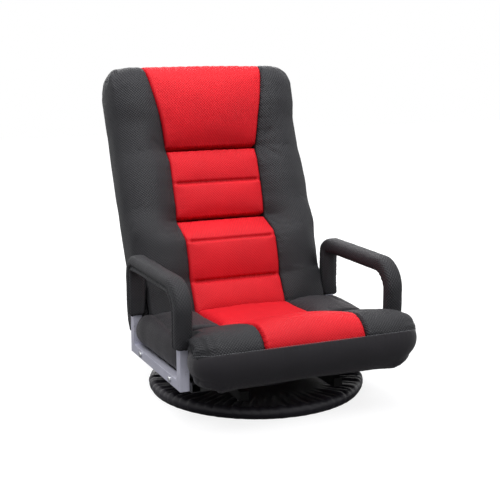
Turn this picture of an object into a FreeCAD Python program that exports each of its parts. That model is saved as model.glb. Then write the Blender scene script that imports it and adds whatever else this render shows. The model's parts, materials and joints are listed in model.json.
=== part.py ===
import FreeCAD, Part
import math
import os
import re
import Sketcher

# Floor gaming chair on a swivel ring, in millimetres.
# The origin is on the floor under the swivel axis, +Z is up and the chair's front faces -Y.

V = FreeCAD.Vector
SIDES = {"left": -1, "right": 1}

# Driving sizes. Each one can be changed by itself.
SIZES = {
    # Ring base
    "ring_radius": 228, "ring_tube": 22, "ring_lift": 1.5, "tube_wall": 1.5,
    "foot_radius": 9, "foot_inset": 4, "foot_top": 6, "foot_count": 6, "spoke_width": 36,
    "spoke_depth": 5,
    # Base cover
    "cover_cloth": 1.2, "cover_gap": 0.3, "cover_hole_radius": 96, "cover_wrap": 60,
    # Swivel
    "plate_depth": 3, "lower_plate_radius": 88, "race_inner": 52, "race_outer": 72, "race_rise": 4,
    "ball_radius": 4, "ball_count": 24, "ball_show": 2, "ball_gap": 0.15, "cage_depth": 1,
    "upper_plate_half_width": 128, "upper_plate_half_length": 80,
    "swivel_bolt_radius": 6, "swivel_head_radius": 12, "swivel_head_rise": 2, "swivel_nut_rise": 6,
    "running_gap": 0.08, "loose_gap": 0.3,
    # Seat frame of square tube
    "tube_side": 20, "rail_spacing": 110, "rail_front": 184, "rail_rear": 150,
    "front_cross_place": 120, "rear_cross_place": 110, "plug_depth": 4,
    "frame_half_width": 233, "frame_front": 205, "frame_rear": 180, "rear_tube_place": 64,
    "rail_bolt_place": 60, "bolt_radius": 3, "bolt_hole_gap": 0.2, "bolt_head_radius": 6,
    "bolt_head_rise": 4, "nut_radius": 5.5, "nut_rise": 4,
    # Seat springs
    "spring_wire": 3.2, "spring_count": 5, "spring_spacing": 78, "spring_swing": 20, "spring_bend": 9,
    "clip_width": 16, "clip_depth": 2,
    # Seat cushion
    "cushion_gap": 0.6, "strip_half_width": 113, "cushion_base_gap": 3.5, "seat_top": 164,
    "seat_crown": 5, "seat_seam_drop": 2, "seat_side_gap": 2, "valley_place": 80, "valley_drop": 3,
    "wedge_top": 166, "wedge_crown": 3, "wedge_edge_drop": 2, "wedge_seam_drop": 4, "seat_edge_round": 14,
    # Front roll and the border under it
    "roll_crest_place": 241, "roll_crest": 212, "roll_crown": 7, "roll_side_crown": 4, "roll_front": 300,
    "roll_back_bulge": 6, "roll_face_bulge": 9, "roll_face_shift": 8, "roll_under": 55,
    "roll_hollow": 13, "roll_hollow_drop": 7, "roll_overhang": 14, "roll_corner": 45, "seam_level": 176.5,
    "border_belly": 305, "border_belly_level": 146, "border_base": 82, "border_rear": 222,
    "border_seam_step": 3, "border_turn": 17, "border_turn_rise": 24, "border_under": 45,
    "border_under_rise": 5, "border_hollow": 16, "border_hollow_drop": 10,
    # Arms
    "arm_front": 182, "arm_rear": 115, "arm_top": 283, "arm_front_bend": 50, "arm_rear_bend": 28,
    "pad_half_width": 19, "pad_half_depth": 17, "pad_corner": 12, "pad_start": 158, "sleeve_gap": 5,
    "post_clearance": 4,
    "front_bolt_place": 131, "rear_bolt_place": 57,
    # Hinges
    "pivot_y": 165, "pivot_z": 140, "back_lean": 19.5, "hinge_plate": 4, "hinge_space": 1,
    "pin_radius": 5, "pin_head_radius": 9, "pin_head_rise": 4, "fixed_plate_radius": 32,
    "ratchet_radius": 30, "ratchet_arm_length": 120, "notch_radius": 3, "notch_pitch": 15, "notch_count": 6,
    "pawl_reach": 38, "pawl_tooth": 12, "pawl_half_width": 4, "pawl_hub_radius": 6, "nose_radius": 2.6,
    "pawl_lift": 6, "pawl_depth": 3, "pawl_pin_radius": 3, "pawl_pin_flange": 2, "plate_lead": 12,
    "cap_radius": 62, "cap_swing_gap": 3, "cap_depth": 6, "cap_base": 95, "cap_skirt_reach": 93,
    # Back frame, measured along the back from the pivot
    "back_tube_start": 45, "back_tube_end": 555, "lower_tube_start": 50,
    "strap_count": 6, "strap_width": 38, "strap_depth": 2, "strap_first": 110, "strap_pitch": 74,
    # Back cushion
    "lobe_radius": 92, "lobe_side_gap": 8, "lobe_swing_gap": 4, "waist_start": 66, "back_side_gap": 5,
    "rear_cloth": 2, "cover_overlap": 6, "cover_inset": 20, "pocket_gap": 0.4, "pocket_side_gap": 0.6,
    "panel_crown": 4, "middle_crown": 3, "top_rear": 22, "bolster_round": 9,
    # The pad round the back's lower end, from the pivot
    "lower_pad_inset": 3, "lower_pad_rear": 60, "lower_pad_belly": 78, "lower_pad_belly_rise": 5,
    "lower_pad_heel": 40, "lower_pad_heel_drop": 46, "lower_pad_toe": 14, "lower_pad_toe_drop": 53,
    "lower_pad_drop": 54,
}

# Places that follow from the sizes.
PLACES = {
    "ring_mid": "ring_lift + ring_tube / 2",
    "spoke_top": "ring_mid + spoke_depth / 2",
    "lower_race_base": "spoke_top + plate_depth",
    "lower_race_top": "lower_race_base + race_rise",
    "ball_mid": "lower_race_top + ball_show",
    "upper_race_base": "ball_mid + ball_show",
    "upper_plate_base": "upper_race_base + race_rise",
    "rail_base": "upper_plate_base + plate_depth",
    "cross_base": "rail_base + tube_side",
    "frame_base": "cross_base + tube_side",
    "frame_top": "frame_base + tube_side",
    "bolt_level": "frame_base + tube_side / 2",
    "cushion_base": "frame_top + cushion_base_gap",
    "race_mid": "(race_inner + race_outer) / 2",
    "frame_inner": "frame_half_width - tube_side",
    "arm_centre": "frame_half_width + tube_side / 2",
    "fixed_plate_inner": "frame_inner - hinge_plate",
    "ratchet_outer": "fixed_plate_inner - hinge_space",
    "ratchet_inner": "ratchet_outer - hinge_plate",
    "back_tube_inner": "ratchet_inner - tube_side",
    "bolt_hole_radius": "bolt_radius + bolt_hole_gap",
    "pin_bore_radius": "pin_radius + running_gap",
    "pawl_bore_radius": "pawl_pin_radius + running_gap",
    "pawl_y": "pivot_y - pawl_reach",
    "pawl_z": "pivot_z - ratchet_radius - pawl_tooth",
    "pawl_inner": "ratchet_inner + (hinge_plate - pawl_depth) / 2",
    "plate_front": "pawl_y - plate_lead",
    "seat_half_width": "frame_half_width - seat_side_gap",
    "roll_half_width": "arm_centre + roll_overhang",
    "post_notch": "arm_centre - pad_half_width - sleeve_gap",
    "sleeve_notch": "pad_start - sleeve_gap",
    "lobe_half_width": "ratchet_inner - lobe_side_gap",
    "rear_cover_half_width": "lobe_half_width + cover_overlap",
    "back_half_width": "frame_half_width - back_side_gap",
    "strip_edge": "strip_half_width + cushion_gap / 2",
    "strip_inset": "strip_half_width - cushion_gap / 2",
}

os.makedirs("parts", exist_ok=True)
doc = FreeCAD.newDocument("floor_gaming_chair")
parts = {}


def make_sheet(name, rows, formula):
    """Write one named cell for each row."""
    sheet = doc.addObject("Spreadsheet::Sheet", name)
    for index, (alias, content) in enumerate(rows.items(), start=1):
        sheet.set(f"A{index}", alias)
        sheet.set(f"B{index}", "=" + linked(content) if formula else str(content))
        sheet.setAlias(f"B{index}", alias)
    doc.recompute()
    return sheet


def linked(text):
    """Point each size's name in a formula at its own sheet."""
    def full(match):
        word = match.group(0)
        if word in SIZES:
            return "sizes." + word
        if word in PLACES:
            return "places." + word
        return word
    return re.sub(r"[a-z][a-z_]+", full, str(text))


sizes_sheet = make_sheet("sizes", SIZES, False)
places_sheet = make_sheet("places", PLACES, True)
S = {name: float(sizes_sheet.get(name)) for name in SIZES}
S.update({name: float(places_sheet.get(name)) for name in PLACES})


def bind(item, target, text):
    """Tie one property to the sheets."""
    item.setExpression(target, linked(text))


def keep(name, item):
    """Register a finished sub-part under its own name."""
    item.Label = name
    parts[name] = item
    return item


def known(text):
    """The number behind a size's name, which may carry a minus sign."""
    return -S[text[1:]] if text.startswith("-") else S[text]


# Plain solids

def box(name, low, high):
    """A block between two corners given as formulas."""
    item = doc.addObject("Part::Box", name)
    for side, start, end in zip(("Length", "Width", "Height"), low, high):
        bind(item, side, f"({end}) - ({start})")
    for axis, start in zip("xyz", low):
        bind(item, f".Placement.Base.{axis}", start)
    return item


TURNS = {
    "x": FreeCAD.Rotation(V(0, 1, 0), 90),
    "y": FreeCAD.Rotation(V(1, 0, 0), -90),
    "z": FreeCAD.Rotation(),
}


def cylinder(name, radius, length, base, axis="z"):
    """A round bar from its base centre along one axis."""
    item = doc.addObject("Part::Cylinder", name)
    bind(item, "Radius", radius)
    bind(item, "Height", length)
    item.Placement = FreeCAD.Placement(V(), TURNS[axis])
    for letter, start in zip("xyz", base):
        bind(item, f".Placement.Base.{letter}", start)
    return item


def fuse(name, items):
    """Join solids into one."""
    item = doc.addObject("Part::MultiFuse", name)
    item.Shapes = items
    item.Refine = True
    return item


def group(name, items):
    """Separate solids of one kind under one name."""
    item = doc.addObject("Part::Compound", name)
    item.Links = items
    return item


def cut(name, base, tools):
    """Take one or more solids out of another."""
    item = doc.addObject("Part::Cut", name)
    item.Base = base
    item.Tool = tools[0] if len(tools) == 1 else fuse(name + "_tools", tools)
    return item


def square_tube(name, low, high, along):
    """A hollow square tube, open at its ends, along axis number along."""
    inner_low = [f"({value}) + tube_wall" for value in low]
    inner_high = [f"({value}) - tube_wall" for value in high]
    inner_low[along] = f"({low[along]}) - 1"
    inner_high[along] = f"({high[along]}) + 1"
    return cut(name, box(name + "_outside", low, high), [box(name + "_inside", inner_low, inner_high)])


def signed(side, low, high):
    """The X span of a piece on one side, as formulas in rising order."""
    return (f"-({high})", f"-({low})") if side < 0 else (low, high)


# Sketched bodies

def new_body(name):
    return doc.addObject("PartDesign::Body", name)


def sketch_on(body, role, name, offset=None):
    """A sketch on one of the body's own origin planes."""
    plane = next(item for item in body.Origin.OriginFeatures if item.Role == role)
    sketch = body.newObject("Sketcher::SketchObject", name)
    sketch.AttachmentSupport = [(plane, "")]
    sketch.MapMode = "FlatFace"
    if offset is not None:
        bind(sketch, ".AttachmentOffset.Base.z", offset)
    return sketch


def outline(sketch, points):
    """A closed outline through named coordinates, each corner dimensioned from the origin."""
    count = len(points)
    first = sketch.GeometryCount
    for index in range(count):
        start = V(known(points[index][0]), known(points[index][1]), 0)
        following = points[(index + 1) % count]
        sketch.addGeometry(Part.LineSegment(start, V(known(following[0]), known(following[1]), 0)))
    for index in range(count):
        here = first + index
        sketch.addConstraint(Sketcher.Constraint("Coincident", here, 2, first + (index + 1) % count, 1))
    for index, point in enumerate(points):
        for kind, text in zip(("DistanceX", "DistanceY"), point):
            rule = sketch.addConstraint(Sketcher.Constraint(kind, -1, 1, first + index, 1, known(text)))
            bind(sketch, f"Constraints[{rule}]", text)


def ring_line(sketch, radius, centre=None):
    """A dimensioned circle, at the origin unless a centre is named."""
    place = V(0, 0, 0) if centre is None else V(known(centre[0]), known(centre[1]), 0)
    circle = sketch.addGeometry(Part.Circle(place, V(0, 0, 1), known(radius)))
    rule = sketch.addConstraint(Sketcher.Constraint("Radius", circle, known(radius)))
    bind(sketch, f"Constraints[{rule}]", radius)
    if centre is None:
        sketch.addConstraint(Sketcher.Constraint("Coincident", circle, 3, -1, 1))
        return
    for kind, text in zip(("DistanceX", "DistanceY"), centre):
        rule = sketch.addConstraint(Sketcher.Constraint(kind, -1, 1, circle, 3, known(text)))
        bind(sketch, f"Constraints[{rule}]", text)


def pad(body, sketch, name, length, back=False):
    item = body.newObject("PartDesign::Pad", name)
    item.Profile = sketch
    item.Reversed = back
    bind(item, "Length", length)
    return item


def pocket_through(body, sketch, name):
    item = body.newObject("PartDesign::Pocket", name)
    item.Profile = sketch
    item.Type = "ThroughAll"
    item.Midplane = True
    return item


# Free shapes, whose numbers come from the sheets

ARC_SHARE = 1 - math.sqrt(0.5)


def shaped(name, shape):
    item = doc.addObject("Part::Feature", name)
    item.Shape = shape
    return item


def arc(first, middle, last):
    return Part.Arc(V(*first), V(*middle), V(*last)).toShape()


def line(first, last):
    return Part.LineSegment(V(*first), V(*last)).toShape()


def loft(sections):
    """A closed soft form through sections of like edges."""
    return Part.makeLoft([Part.Wire(edges) for edges in sections], True, True)


def pipe(path, profile):
    """A profile swept along lines and tangent arcs."""
    return Part.Wire(path).makePipeShell([profile], True, False)


def block(low, high):
    return Part.makeBox(high[0] - low[0], high[1] - low[1], high[2] - low[2], V(*low))


# Ring base

def make_base_ring():
    middle = (S["ring_radius"], S["ring_mid"])
    body = new_body("base_ring")
    sketch = sketch_on(body, "XZ_Plane", "ring_section")
    for radius in (S["ring_tube"] / 2, S["ring_tube"] / 2 - S["tube_wall"]):
        sketch.addGeometry(Part.Circle(V(middle[0], middle[1], 0), V(0, 0, 1), radius))
    formulas = ("ring_tube / 2", "ring_tube / 2 - tube_wall")
    for circle, formula in enumerate(formulas):
        rule = sketch.addConstraint(Sketcher.Constraint("Radius", circle, sketch.Geometry[circle].Radius))
        bind(sketch, f"Constraints[{rule}]", formula)
        for kind, text in (("DistanceX", "ring_radius"), ("DistanceY", "ring_mid")):
            rule = sketch.addConstraint(Sketcher.Constraint(kind, -1, 1, circle, 3, S[text]))
            bind(sketch, f"Constraints[{rule}]", text)
    ring = body.newObject("PartDesign::Revolution", "ring_turn")
    ring.Profile = sketch
    ring.ReferenceAxis = (sketch, ["V_Axis"])
    ring.Angle = 360
    keep("base_ring", body)


def ring_solid():
    return Part.makeTorus(S["ring_radius"], S["ring_tube"] / 2, V(0, 0, S["ring_mid"]))


def make_base_spokes():
    """Two flat bars that cross under the swivel and end on the ring."""
    half = S["ring_radius"]
    wide = S["spoke_width"] / 2
    low = S["spoke_top"] - S["spoke_depth"]
    bars = block((-half, -wide, low), (half, wide, S["spoke_top"]))
    bars = bars.fuse(block((-wide, -half, low), (wide, half, S["spoke_top"])))
    bars = bars.cut(ring_solid()).removeSplitter()
    bars = bars.common(Part.makeCylinder(half, S["ring_tube"] * 2))
    bore = Part.makeCylinder(S["swivel_bolt_radius"], S["ring_tube"] * 2, V(0, 0, 0))
    keep("base_spokes", shaped("base_spokes", bars.cut(bore)))


def make_base_feet():
    """Rubber pads whose tops are shaped to the underside of the ring."""
    feet = []
    for index in range(int(S["foot_count"])):
        angle = 2 * math.pi * index / S["foot_count"] + math.pi / S["foot_count"]
        reach = S["ring_radius"] - S["foot_inset"]
        place = V(reach * math.cos(angle), reach * math.sin(angle), 0)
        foot = Part.makeCylinder(S["foot_radius"], S["foot_top"], place)
        feet.append(foot.cut(ring_solid()).Solids[0])
    keep("base_feet", shaped("base_feet", Part.makeCompound(feet)))


def make_base_cover():
    """Cloth drawn over the ring, with an open centre for the swivel."""
    inner = S["ring_tube"] / 2 + S["cover_gap"]
    outer = inner + S["cover_cloth"]
    centre = (S["ring_radius"], S["ring_mid"])
    turn = math.radians(S["cover_wrap"])

    def on_tube(radius, angle):
        return (centre[0] + radius * math.cos(angle), 0, centre[1] + radius * math.sin(angle))

    edges = [
        line((S["cover_hole_radius"], 0, centre[1] + inner), on_tube(inner, math.pi / 2)),
        arc(on_tube(inner, math.pi / 2), on_tube(inner, 0), on_tube(inner, -turn)),
        line(on_tube(inner, -turn), on_tube(outer, -turn)),
        arc(on_tube(outer, -turn), on_tube(outer, 0), on_tube(outer, math.pi / 2)),
        line(on_tube(outer, math.pi / 2), (S["cover_hole_radius"], 0, centre[1] + outer)),
        line((S["cover_hole_radius"], 0, centre[1] + outer), (S["cover_hole_radius"], 0, centre[1] + inner)),
    ]
    section = Part.Face(Part.Wire(edges))
    keep("base_cover", shaped("base_cover", section.revolve(V(), V(0, 0, 1), 360)))


# Swivel bearing

def make_lower_swivel_plate():
    body = new_body("lower_plate_body")
    plate = sketch_on(body, "XY_Plane", "lower_plate_outline", "spoke_top")
    ring_line(plate, "lower_plate_radius")
    ring_line(plate, "swivel_bolt_radius")
    pad(body, plate, "lower_plate_pad", "plate_depth")
    race = sketch_on(body, "XY_Plane", "lower_race_outline", "lower_race_base")
    ring_line(race, "race_outer")
    ring_line(race, "race_inner")
    pad(body, race, "lower_race_pad", "race_rise")
    keep("lower_swivel_plate", cut("lower_swivel_plate", body, [groove_tool("lower_groove")]))


def groove_tool(name):
    item = doc.addObject("Part::Torus", name)
    bind(item, "Radius1", "race_mid")
    bind(item, "Radius2", "ball_radius + ball_gap")
    bind(item, ".Placement.Base.z", "ball_mid")
    return item


def make_upper_swivel_plate():
    body = new_body("upper_plate_body")
    plate = sketch_on(body, "XY_Plane", "upper_plate_outline", "upper_plate_base")
    wide, long = "upper_plate_half_width", "upper_plate_half_length"
    outline(plate, [("-" + wide, "-" + long), (wide, "-" + long), (wide, long), ("-" + wide, long)])
    pad(body, plate, "upper_plate_pad", "plate_depth")
    race = sketch_on(body, "XY_Plane", "upper_race_outline", "upper_race_base")
    ring_line(race, "race_outer")
    ring_line(race, "race_inner")
    pad(body, race, "upper_race_pad", "race_rise")
    bores = [cylinder("upper_plate_bore", "swivel_bolt_radius + running_gap", "3 * plate_depth + race_rise",
                      ("0", "0", "upper_race_base"))]
    for x in ("-rail_spacing", "rail_spacing"):
        for y in ("-rail_bolt_place", "rail_bolt_place"):
            name = f"upper_plate_hole_{len(bores)}"
            place = (x, y, "upper_plate_base - 1")
            bores.append(cylinder(name, "bolt_hole_radius", "3 * plate_depth", place))
    keep("upper_swivel_plate", cut("upper_swivel_plate", body, [groove_tool("upper_groove")] + bores))


def make_bearing():
    count = int(S["ball_count"])
    balls, holes = [], []
    for index in range(count):
        angle = 2 * math.pi * index / count
        x, y = S["race_mid"] * math.cos(angle), S["race_mid"] * math.sin(angle)
        balls.append(Part.makeSphere(S["ball_radius"], V(x, y, S["ball_mid"])))
        holes.append(Part.makeCylinder(S["ball_radius"] + S["loose_gap"], 4 * S["cage_depth"],
                                       V(x, y, S["ball_mid"] - 2 * S["cage_depth"])))
    keep("bearing_balls", shaped("bearing_balls", Part.makeCompound(balls)))
    base = V(0, 0, S["ball_mid"] - S["cage_depth"] / 2)
    rim = S["ball_radius"] + 2
    cage = Part.makeCylinder(S["race_mid"] + rim, S["cage_depth"], base)
    cage = cage.cut(Part.makeCylinder(S["race_mid"] - rim, S["cage_depth"], base))
    keep("ball_cage", shaped("ball_cage", cage.cut(Part.makeCompound(holes))))


def make_swivel_bolt():
    shank_end = "rail_base + swivel_nut_rise + 3"
    base = f"(spoke_top - spoke_depth) - swivel_head_rise"
    shank = cylinder("swivel_shank", "swivel_bolt_radius", f"({shank_end}) - ({base})", ("0", "0", base))
    head = cylinder("swivel_head", "swivel_head_radius", "swivel_head_rise", ("0", "0", base))
    keep("swivel_bolt", fuse("swivel_bolt", [shank, head]))
    washer_top = "rail_base + loose_gap + 1.5"
    washer = cylinder("washer_disc", "swivel_head_radius + 3", "1.5", ("0", "0", "rail_base + loose_gap"))
    bore = cylinder("washer_bore", "swivel_bolt_radius", "5", ("0", "0", "rail_base - 1"))
    keep("swivel_washer", cut("swivel_washer", washer, [bore]))
    nut = doc.addObject("Part::Prism", "nut_prism")
    nut.Polygon = 6
    bind(nut, "Circumradius", "swivel_head_radius")
    bind(nut, "Height", "swivel_nut_rise")
    bind(nut, ".Placement.Base.z", washer_top)
    nut_bore = cylinder("nut_bore", "swivel_bolt_radius", "swivel_nut_rise + 4", ("0", "0", "rail_base"))
    keep("swivel_nut", cut("swivel_nut", nut, [nut_bore]))


# Seat frame

def make_swivel_rails():
    for name, side in SIDES.items():
        x = signed(side, "rail_spacing - tube_side / 2", "rail_spacing + tube_side / 2")
        rail = square_tube(f"rail_tube_{name}", (x[0], "-rail_front", "rail_base"),
                           (x[1], "rail_rear", "cross_base"), 1)
        centre = "-rail_spacing" if side < 0 else "rail_spacing"
        holes = []
        for end, y in (("front", "-rail_bolt_place"), ("rear", "rail_bolt_place")):
            holes.append(cylinder(f"rail_hole_{name}_{end}", "bolt_hole_radius", "tube_side / 2",
                                  (centre, y, "rail_base - 1")))
        keep(f"swivel_rail_{name}", cut(f"swivel_rail_{name}", rail, holes))
    plugs = []
    for name, side in SIDES.items():
        for end, y in (("front", ("-rail_front - plug_depth / 2", "-rail_front")),
                       ("rear", ("rail_rear", "rail_rear + plug_depth / 2"))):
            x = signed(side, "rail_spacing - tube_side / 2", "rail_spacing + tube_side / 2")
            plugs.append(box(f"plug_{name}_{end}", (x[0], y[0], "rail_base"), (x[1], y[1], "cross_base")))
    keep("rail_plugs", group("rail_plugs", plugs))
    bolts = []
    for x in ("-rail_spacing", "rail_spacing"):
        for y in ("-rail_bolt_place", "rail_bolt_place"):
            index = len(bolts)
            shank = cylinder(f"plate_shank_{index}", "bolt_radius", "plate_depth + tube_wall + 3",
                             (x, y, "upper_plate_base"))
            head = cylinder(f"plate_head_{index}", "bolt_head_radius", "bolt_head_rise / 2",
                            (x, y, "upper_plate_base - bolt_head_rise / 2"))
            bolts.append(fuse(f"plate_bolt_{index}", [shank, head]))
    keep("plate_bolts", group("plate_bolts", bolts))


def make_seat_frame():
    cross = (("cross_tube_front", "-front_cross_place"), ("cross_tube_rear", "rear_cross_place"))
    for name, y in cross:
        keep(name, square_tube(name, ("-frame_half_width", f"{y} - tube_side / 2", "cross_base"),
                               ("frame_half_width", f"{y} + tube_side / 2", "frame_base"), 0))
    for name, side in SIDES.items():
        x = signed(side, "frame_inner", "frame_half_width")
        rail = square_tube(f"side_tube_{name}", (x[0], "-frame_front", "frame_base"),
                           (x[1], "frame_rear", "frame_top"), 1)
        holes = []
        for end, y in (("front", "-front_bolt_place"), ("rear", "rear_bolt_place")):
            holes.append(cylinder(f"side_hole_{name}_{end}", "bolt_hole_radius", "tube_side + 2",
                                  (f"({x[0]}) - 1", y, "bolt_level"), "x"))
        keep(f"seat_rail_{name}", cut(f"seat_rail_{name}", rail, holes))
    ends = (("seat_tube_front", "-frame_front"), ("seat_tube_rear", "rear_tube_place"))
    for name, y in ends:
        keep(name, square_tube(name, ("-frame_inner", y, "frame_base"),
                               ("frame_inner", f"{y} + tube_side", "frame_top"), 0))


def spring_path(x, start, end, level):
    """A zigzag of straight runs across and half turns, from the front tube to the rear tube."""
    bend = S["spring_bend"]
    reach = S["spring_swing"] - bend
    count = int((end - start) / (2 * bend))
    pitch = (end - start) / count
    bend = pitch / 2
    edges = []
    side = 1
    y = start
    edges.append(line((x, y, level), (x + reach, y, level)))
    for index in range(count):
        near = x + side * reach
        edges.append(arc((near, y, level), (near + side * bend, y + bend, level), (near, y + pitch, level)))
        y += pitch
        far = x if index == count - 1 else x - side * reach
        edges.append(line((near, y, level), (far, y, level)))
        side = -side
    return edges


def make_seat_springs():
    """Zigzag wire springs that lie on the front and rear tubes and carry the cushion."""
    radius = S["spring_wire"] / 2
    level = S["frame_top"] + radius
    start = -S["frame_front"] + S["tube_side"] / 2
    end = S["rear_tube_place"] + S["tube_side"] / 2
    count = int(S["spring_count"])
    springs, clips = [], []
    for index in range(count):
        x = (index - (count - 1) / 2) * S["spring_spacing"]
        path = spring_path(x, start, end, level)
        section = Part.Wire(Part.Circle(V(x, start, level), V(1, 0, 0), radius).toShape())
        springs.append(pipe(path, section))
        for y, shift in ((start, -1), (end, 1)):
            wide, deep = S["clip_width"] / 2, S["clip_depth"]
            wall = radius + S["loose_gap"]
            low = (x - wide, y - wall - deep, S["frame_top"])
            high = (x + wide, y + wall + deep, level + radius)
            clip = block(low, high)
            slot = block((x - wide, y - wall, S["frame_top"]), (x + wide, y + wall, level + radius))
            clips += clip.cut(slot).Solids
    keep("seat_springs", shaped("seat_springs", Part.makeCompound(springs)))
    keep("spring_clips", shaped("spring_clips", Part.makeCompound(clips)))


# Seat cushion

def lobe_tool():
    """The round space in which the back's lower end turns."""
    radius = S["lobe_radius"] + S["lobe_swing_gap"]
    wide = S["roll_half_width"]
    return Part.makeCylinder(radius, 2 * wide, V(-wide, S["pivot_y"], S["pivot_z"]), V(1, 0, 0))


def along_y(section_at, places):
    return loft([section_at(y) for y in places])


def make_seat_centre():
    edge, base = S["strip_inset"], S["cushion_base"]
    top, crown = S["seat_top"] - S["seat_seam_drop"], S["seat_crown"]

    def section(y):
        return [line((-edge, y, base), (-edge, y, top)),
                arc((-edge, y, top), (0, y, top + crown), (edge, y, top)),
                line((edge, y, top), (edge, y, base)),
                line((edge, y, base), (-edge, y, base))]

    front = -S["valley_place"] + S["cushion_gap"] / 2
    pad_shape = along_y(section, (front, S["pivot_y"])).cut(lobe_tool())
    keep("seat_centre", shaped("seat_centre", pad_shape))


def make_seat_wedges():
    base, top = S["cushion_base"], S["wedge_top"]
    drop, seam, crown = S["wedge_edge_drop"], S["wedge_seam_drop"], S["wedge_crown"]
    inner, outer, turn = S["strip_edge"], S["seat_half_width"], S["seat_edge_round"]
    front = -S["valley_place"] + S["cushion_gap"] / 2
    for name, side in SIDES.items():
        def section(y):
            shoulder = outer - turn
            middle = (inner + shoulder) / 2
            start = (side * inner, y, top - seam)
            rim = (side * shoulder, y, top - drop)
            bend = (side * (outer - ARC_SHARE * turn), y, top - ARC_SHARE * turn - drop)
            edge = (side * outer, y, top - turn - drop)
            return [line((side * inner, y, base), start),
                    arc(start, (side * middle, y, top + crown), rim),
                    arc(rim, bend, edge),
                    line(edge, (side * outer, y, base)),
                    line((side * outer, y, base), (side * inner, y, base))]

        wedge = along_y(section, (front, S["pivot_y"])).cut(lobe_tool())
        keep(f"seat_wedge_{name}", shaped(f"seat_wedge_{name}", wedge))


def corner_draw(x):
    """How far the front outline has curved back at a distance x from the middle."""
    past = abs(x) - (S["roll_half_width"] - S["roll_corner"])
    if past <= 0:
        return 0.0
    return S["roll_corner"] - math.sqrt(max(S["roll_corner"] ** 2 - past ** 2, 0))


def roll_section(x, rear, crown=0.0, drop=0.0):
    """The front roll's side view at x, from its rear edge over the crest to the front seam."""
    draw = corner_draw(x)
    base = S["cushion_base"]
    climb = (rear - S["valley_place"]) / (S["roll_crest_place"] - S["valley_place"])
    rise = ROLL_CLIMB_SHARE * (S["roll_crest"] - S["seat_top"]) * climb
    start = (-rear, S["seat_top"] - S["valley_drop"] + rise - drop / 2)
    crest = (-S["roll_crest_place"] + draw / 3, S["roll_crest"] + crown - drop)
    seam = (-S["roll_front"] + draw, S["seam_level"] - drop / 3)
    behind = ((start[0] + crest[0]) / 2, (start[1] + crest[1]) / 2 + S["roll_back_bulge"])
    face = ((crest[0] + seam[0]) / 2 - S["roll_face_shift"] + draw / 6,
            (crest[1] + seam[1]) / 2 + S["roll_face_bulge"])
    foot = (-S["roll_front"] + S["roll_under"] + draw / 2, base)
    hollow = ((seam[0] + foot[0]) / 2 - S["roll_hollow"], (seam[1] + foot[1]) / 2 - S["roll_hollow_drop"])

    def at(point):
        return (x, point[0], point[1])

    return [arc(at(start), at(behind), at(crest)),
            arc(at(crest), at(face), at(seam)),
            arc(at(seam), at(hollow), at(foot)),
            line(at(foot), (x, start[0], base)),
            line((x, start[0], base), at(start))]


# How far up the seat-to-crest rise the roll's rear edge climbs as it moves forward
ROLL_CLIMB_SHARE = 0.8
# Share of the way from the post's notch to the roll's end, and how far the top has dropped there
ROLL_END = ((0.0, 3), (0.474, 8), (0.79, 17), (0.974, 32))
# Shares of the corner at which the border's outline is drawn
BORDER_CORNER = (0, 0.5, 0.8, 0.97)


def make_front_roll():
    valley = S["valley_place"] + S["cushion_gap"] / 2
    edge = S["strip_inset"]
    middle = [roll_section(x, valley, S["roll_crown"] * (1 - (x / edge) ** 2))
              for x in (-edge, -edge / 2, 0, edge / 2, edge)]
    keep("front_roll_centre", shaped("front_roll_centre", loft(middle)))
    inner, notch, wide = S["strip_edge"], S["post_notch"], S["roll_half_width"]
    notch_drop = ROLL_END[0][1]
    post_front = S["arm_front"] + S["pad_half_depth"] + S["post_clearance"]
    overlap = S["seat_side_gap"]
    for name, side in SIDES.items():
        near = loft([roll_section(side * x, valley, crown, drop) for x, crown, drop in (
            (inner, 0, 0), ((inner + notch) / 2, S["roll_side_crown"], 0), (notch, 0, notch_drop))])
        end = loft([roll_section(side * (notch + share * (wide - notch)), post_front, 0, drop)
                    for share, drop in ROLL_END])
        span = sorted((side * (notch - overlap), side * S["seat_half_width"]))
        corner = block((span[0], -post_front - overlap, S["cushion_base"]),
                       (span[1], -valley, S["sleeve_notch"]))
        roll = near.fuse([end, corner]).removeSplitter()
        keep(f"front_roll_{name}", shaped(f"front_roll_{name}", roll))


def border_section(x):
    """The border under the front seam, from the seam round the belly to the bottom hem."""
    draw = corner_draw(x)
    front = -S["roll_front"] + draw
    belly_front = -S["border_belly"]
    gap = 2 * S["cushion_gap"]
    level = S["seam_level"] - 1
    seam = (front - S["border_seam_step"], level)
    belly = (belly_front + draw, S["border_belly_level"])
    turn = (belly_front + S["border_turn"] + draw * 0.8, S["border_base"] + S["border_turn_rise"])
    under = (belly_front + S["border_under"] + draw * 0.55, S["border_base"] + S["border_under_rise"])
    hem = (-S["border_rear"], S["border_base"])
    lip = (-S["border_rear"], S["cushion_base"] - gap)
    foot = (-S["roll_front"] + S["roll_under"] + draw / 2, S["cushion_base"] - gap)
    inner_seam = (front - gap, level)
    hollow = ((inner_seam[0] + foot[0]) / 2 - S["border_hollow"],
              (inner_seam[1] + foot[1]) / 2 - S["border_hollow_drop"])

    def at(point):
        return (x, point[0], point[1])

    return [arc(at(seam), at(belly), at(turn)),
            arc(at(turn), at(under), at(hem)),
            line(at(hem), at(lip)),
            line(at(lip), at(foot)),
            arc(at(foot), at(hollow), at(inner_seam)),
            line(at(inner_seam), at(seam))]


def make_front_border():
    wide, corner = S["roll_half_width"], S["roll_corner"]
    half = [wide - corner + corner * share for share in BORDER_CORNER]
    places = [-x for x in reversed(half)] + half
    keep("front_border", shaped("front_border", loft([border_section(x) for x in places])))


# Arms

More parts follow.
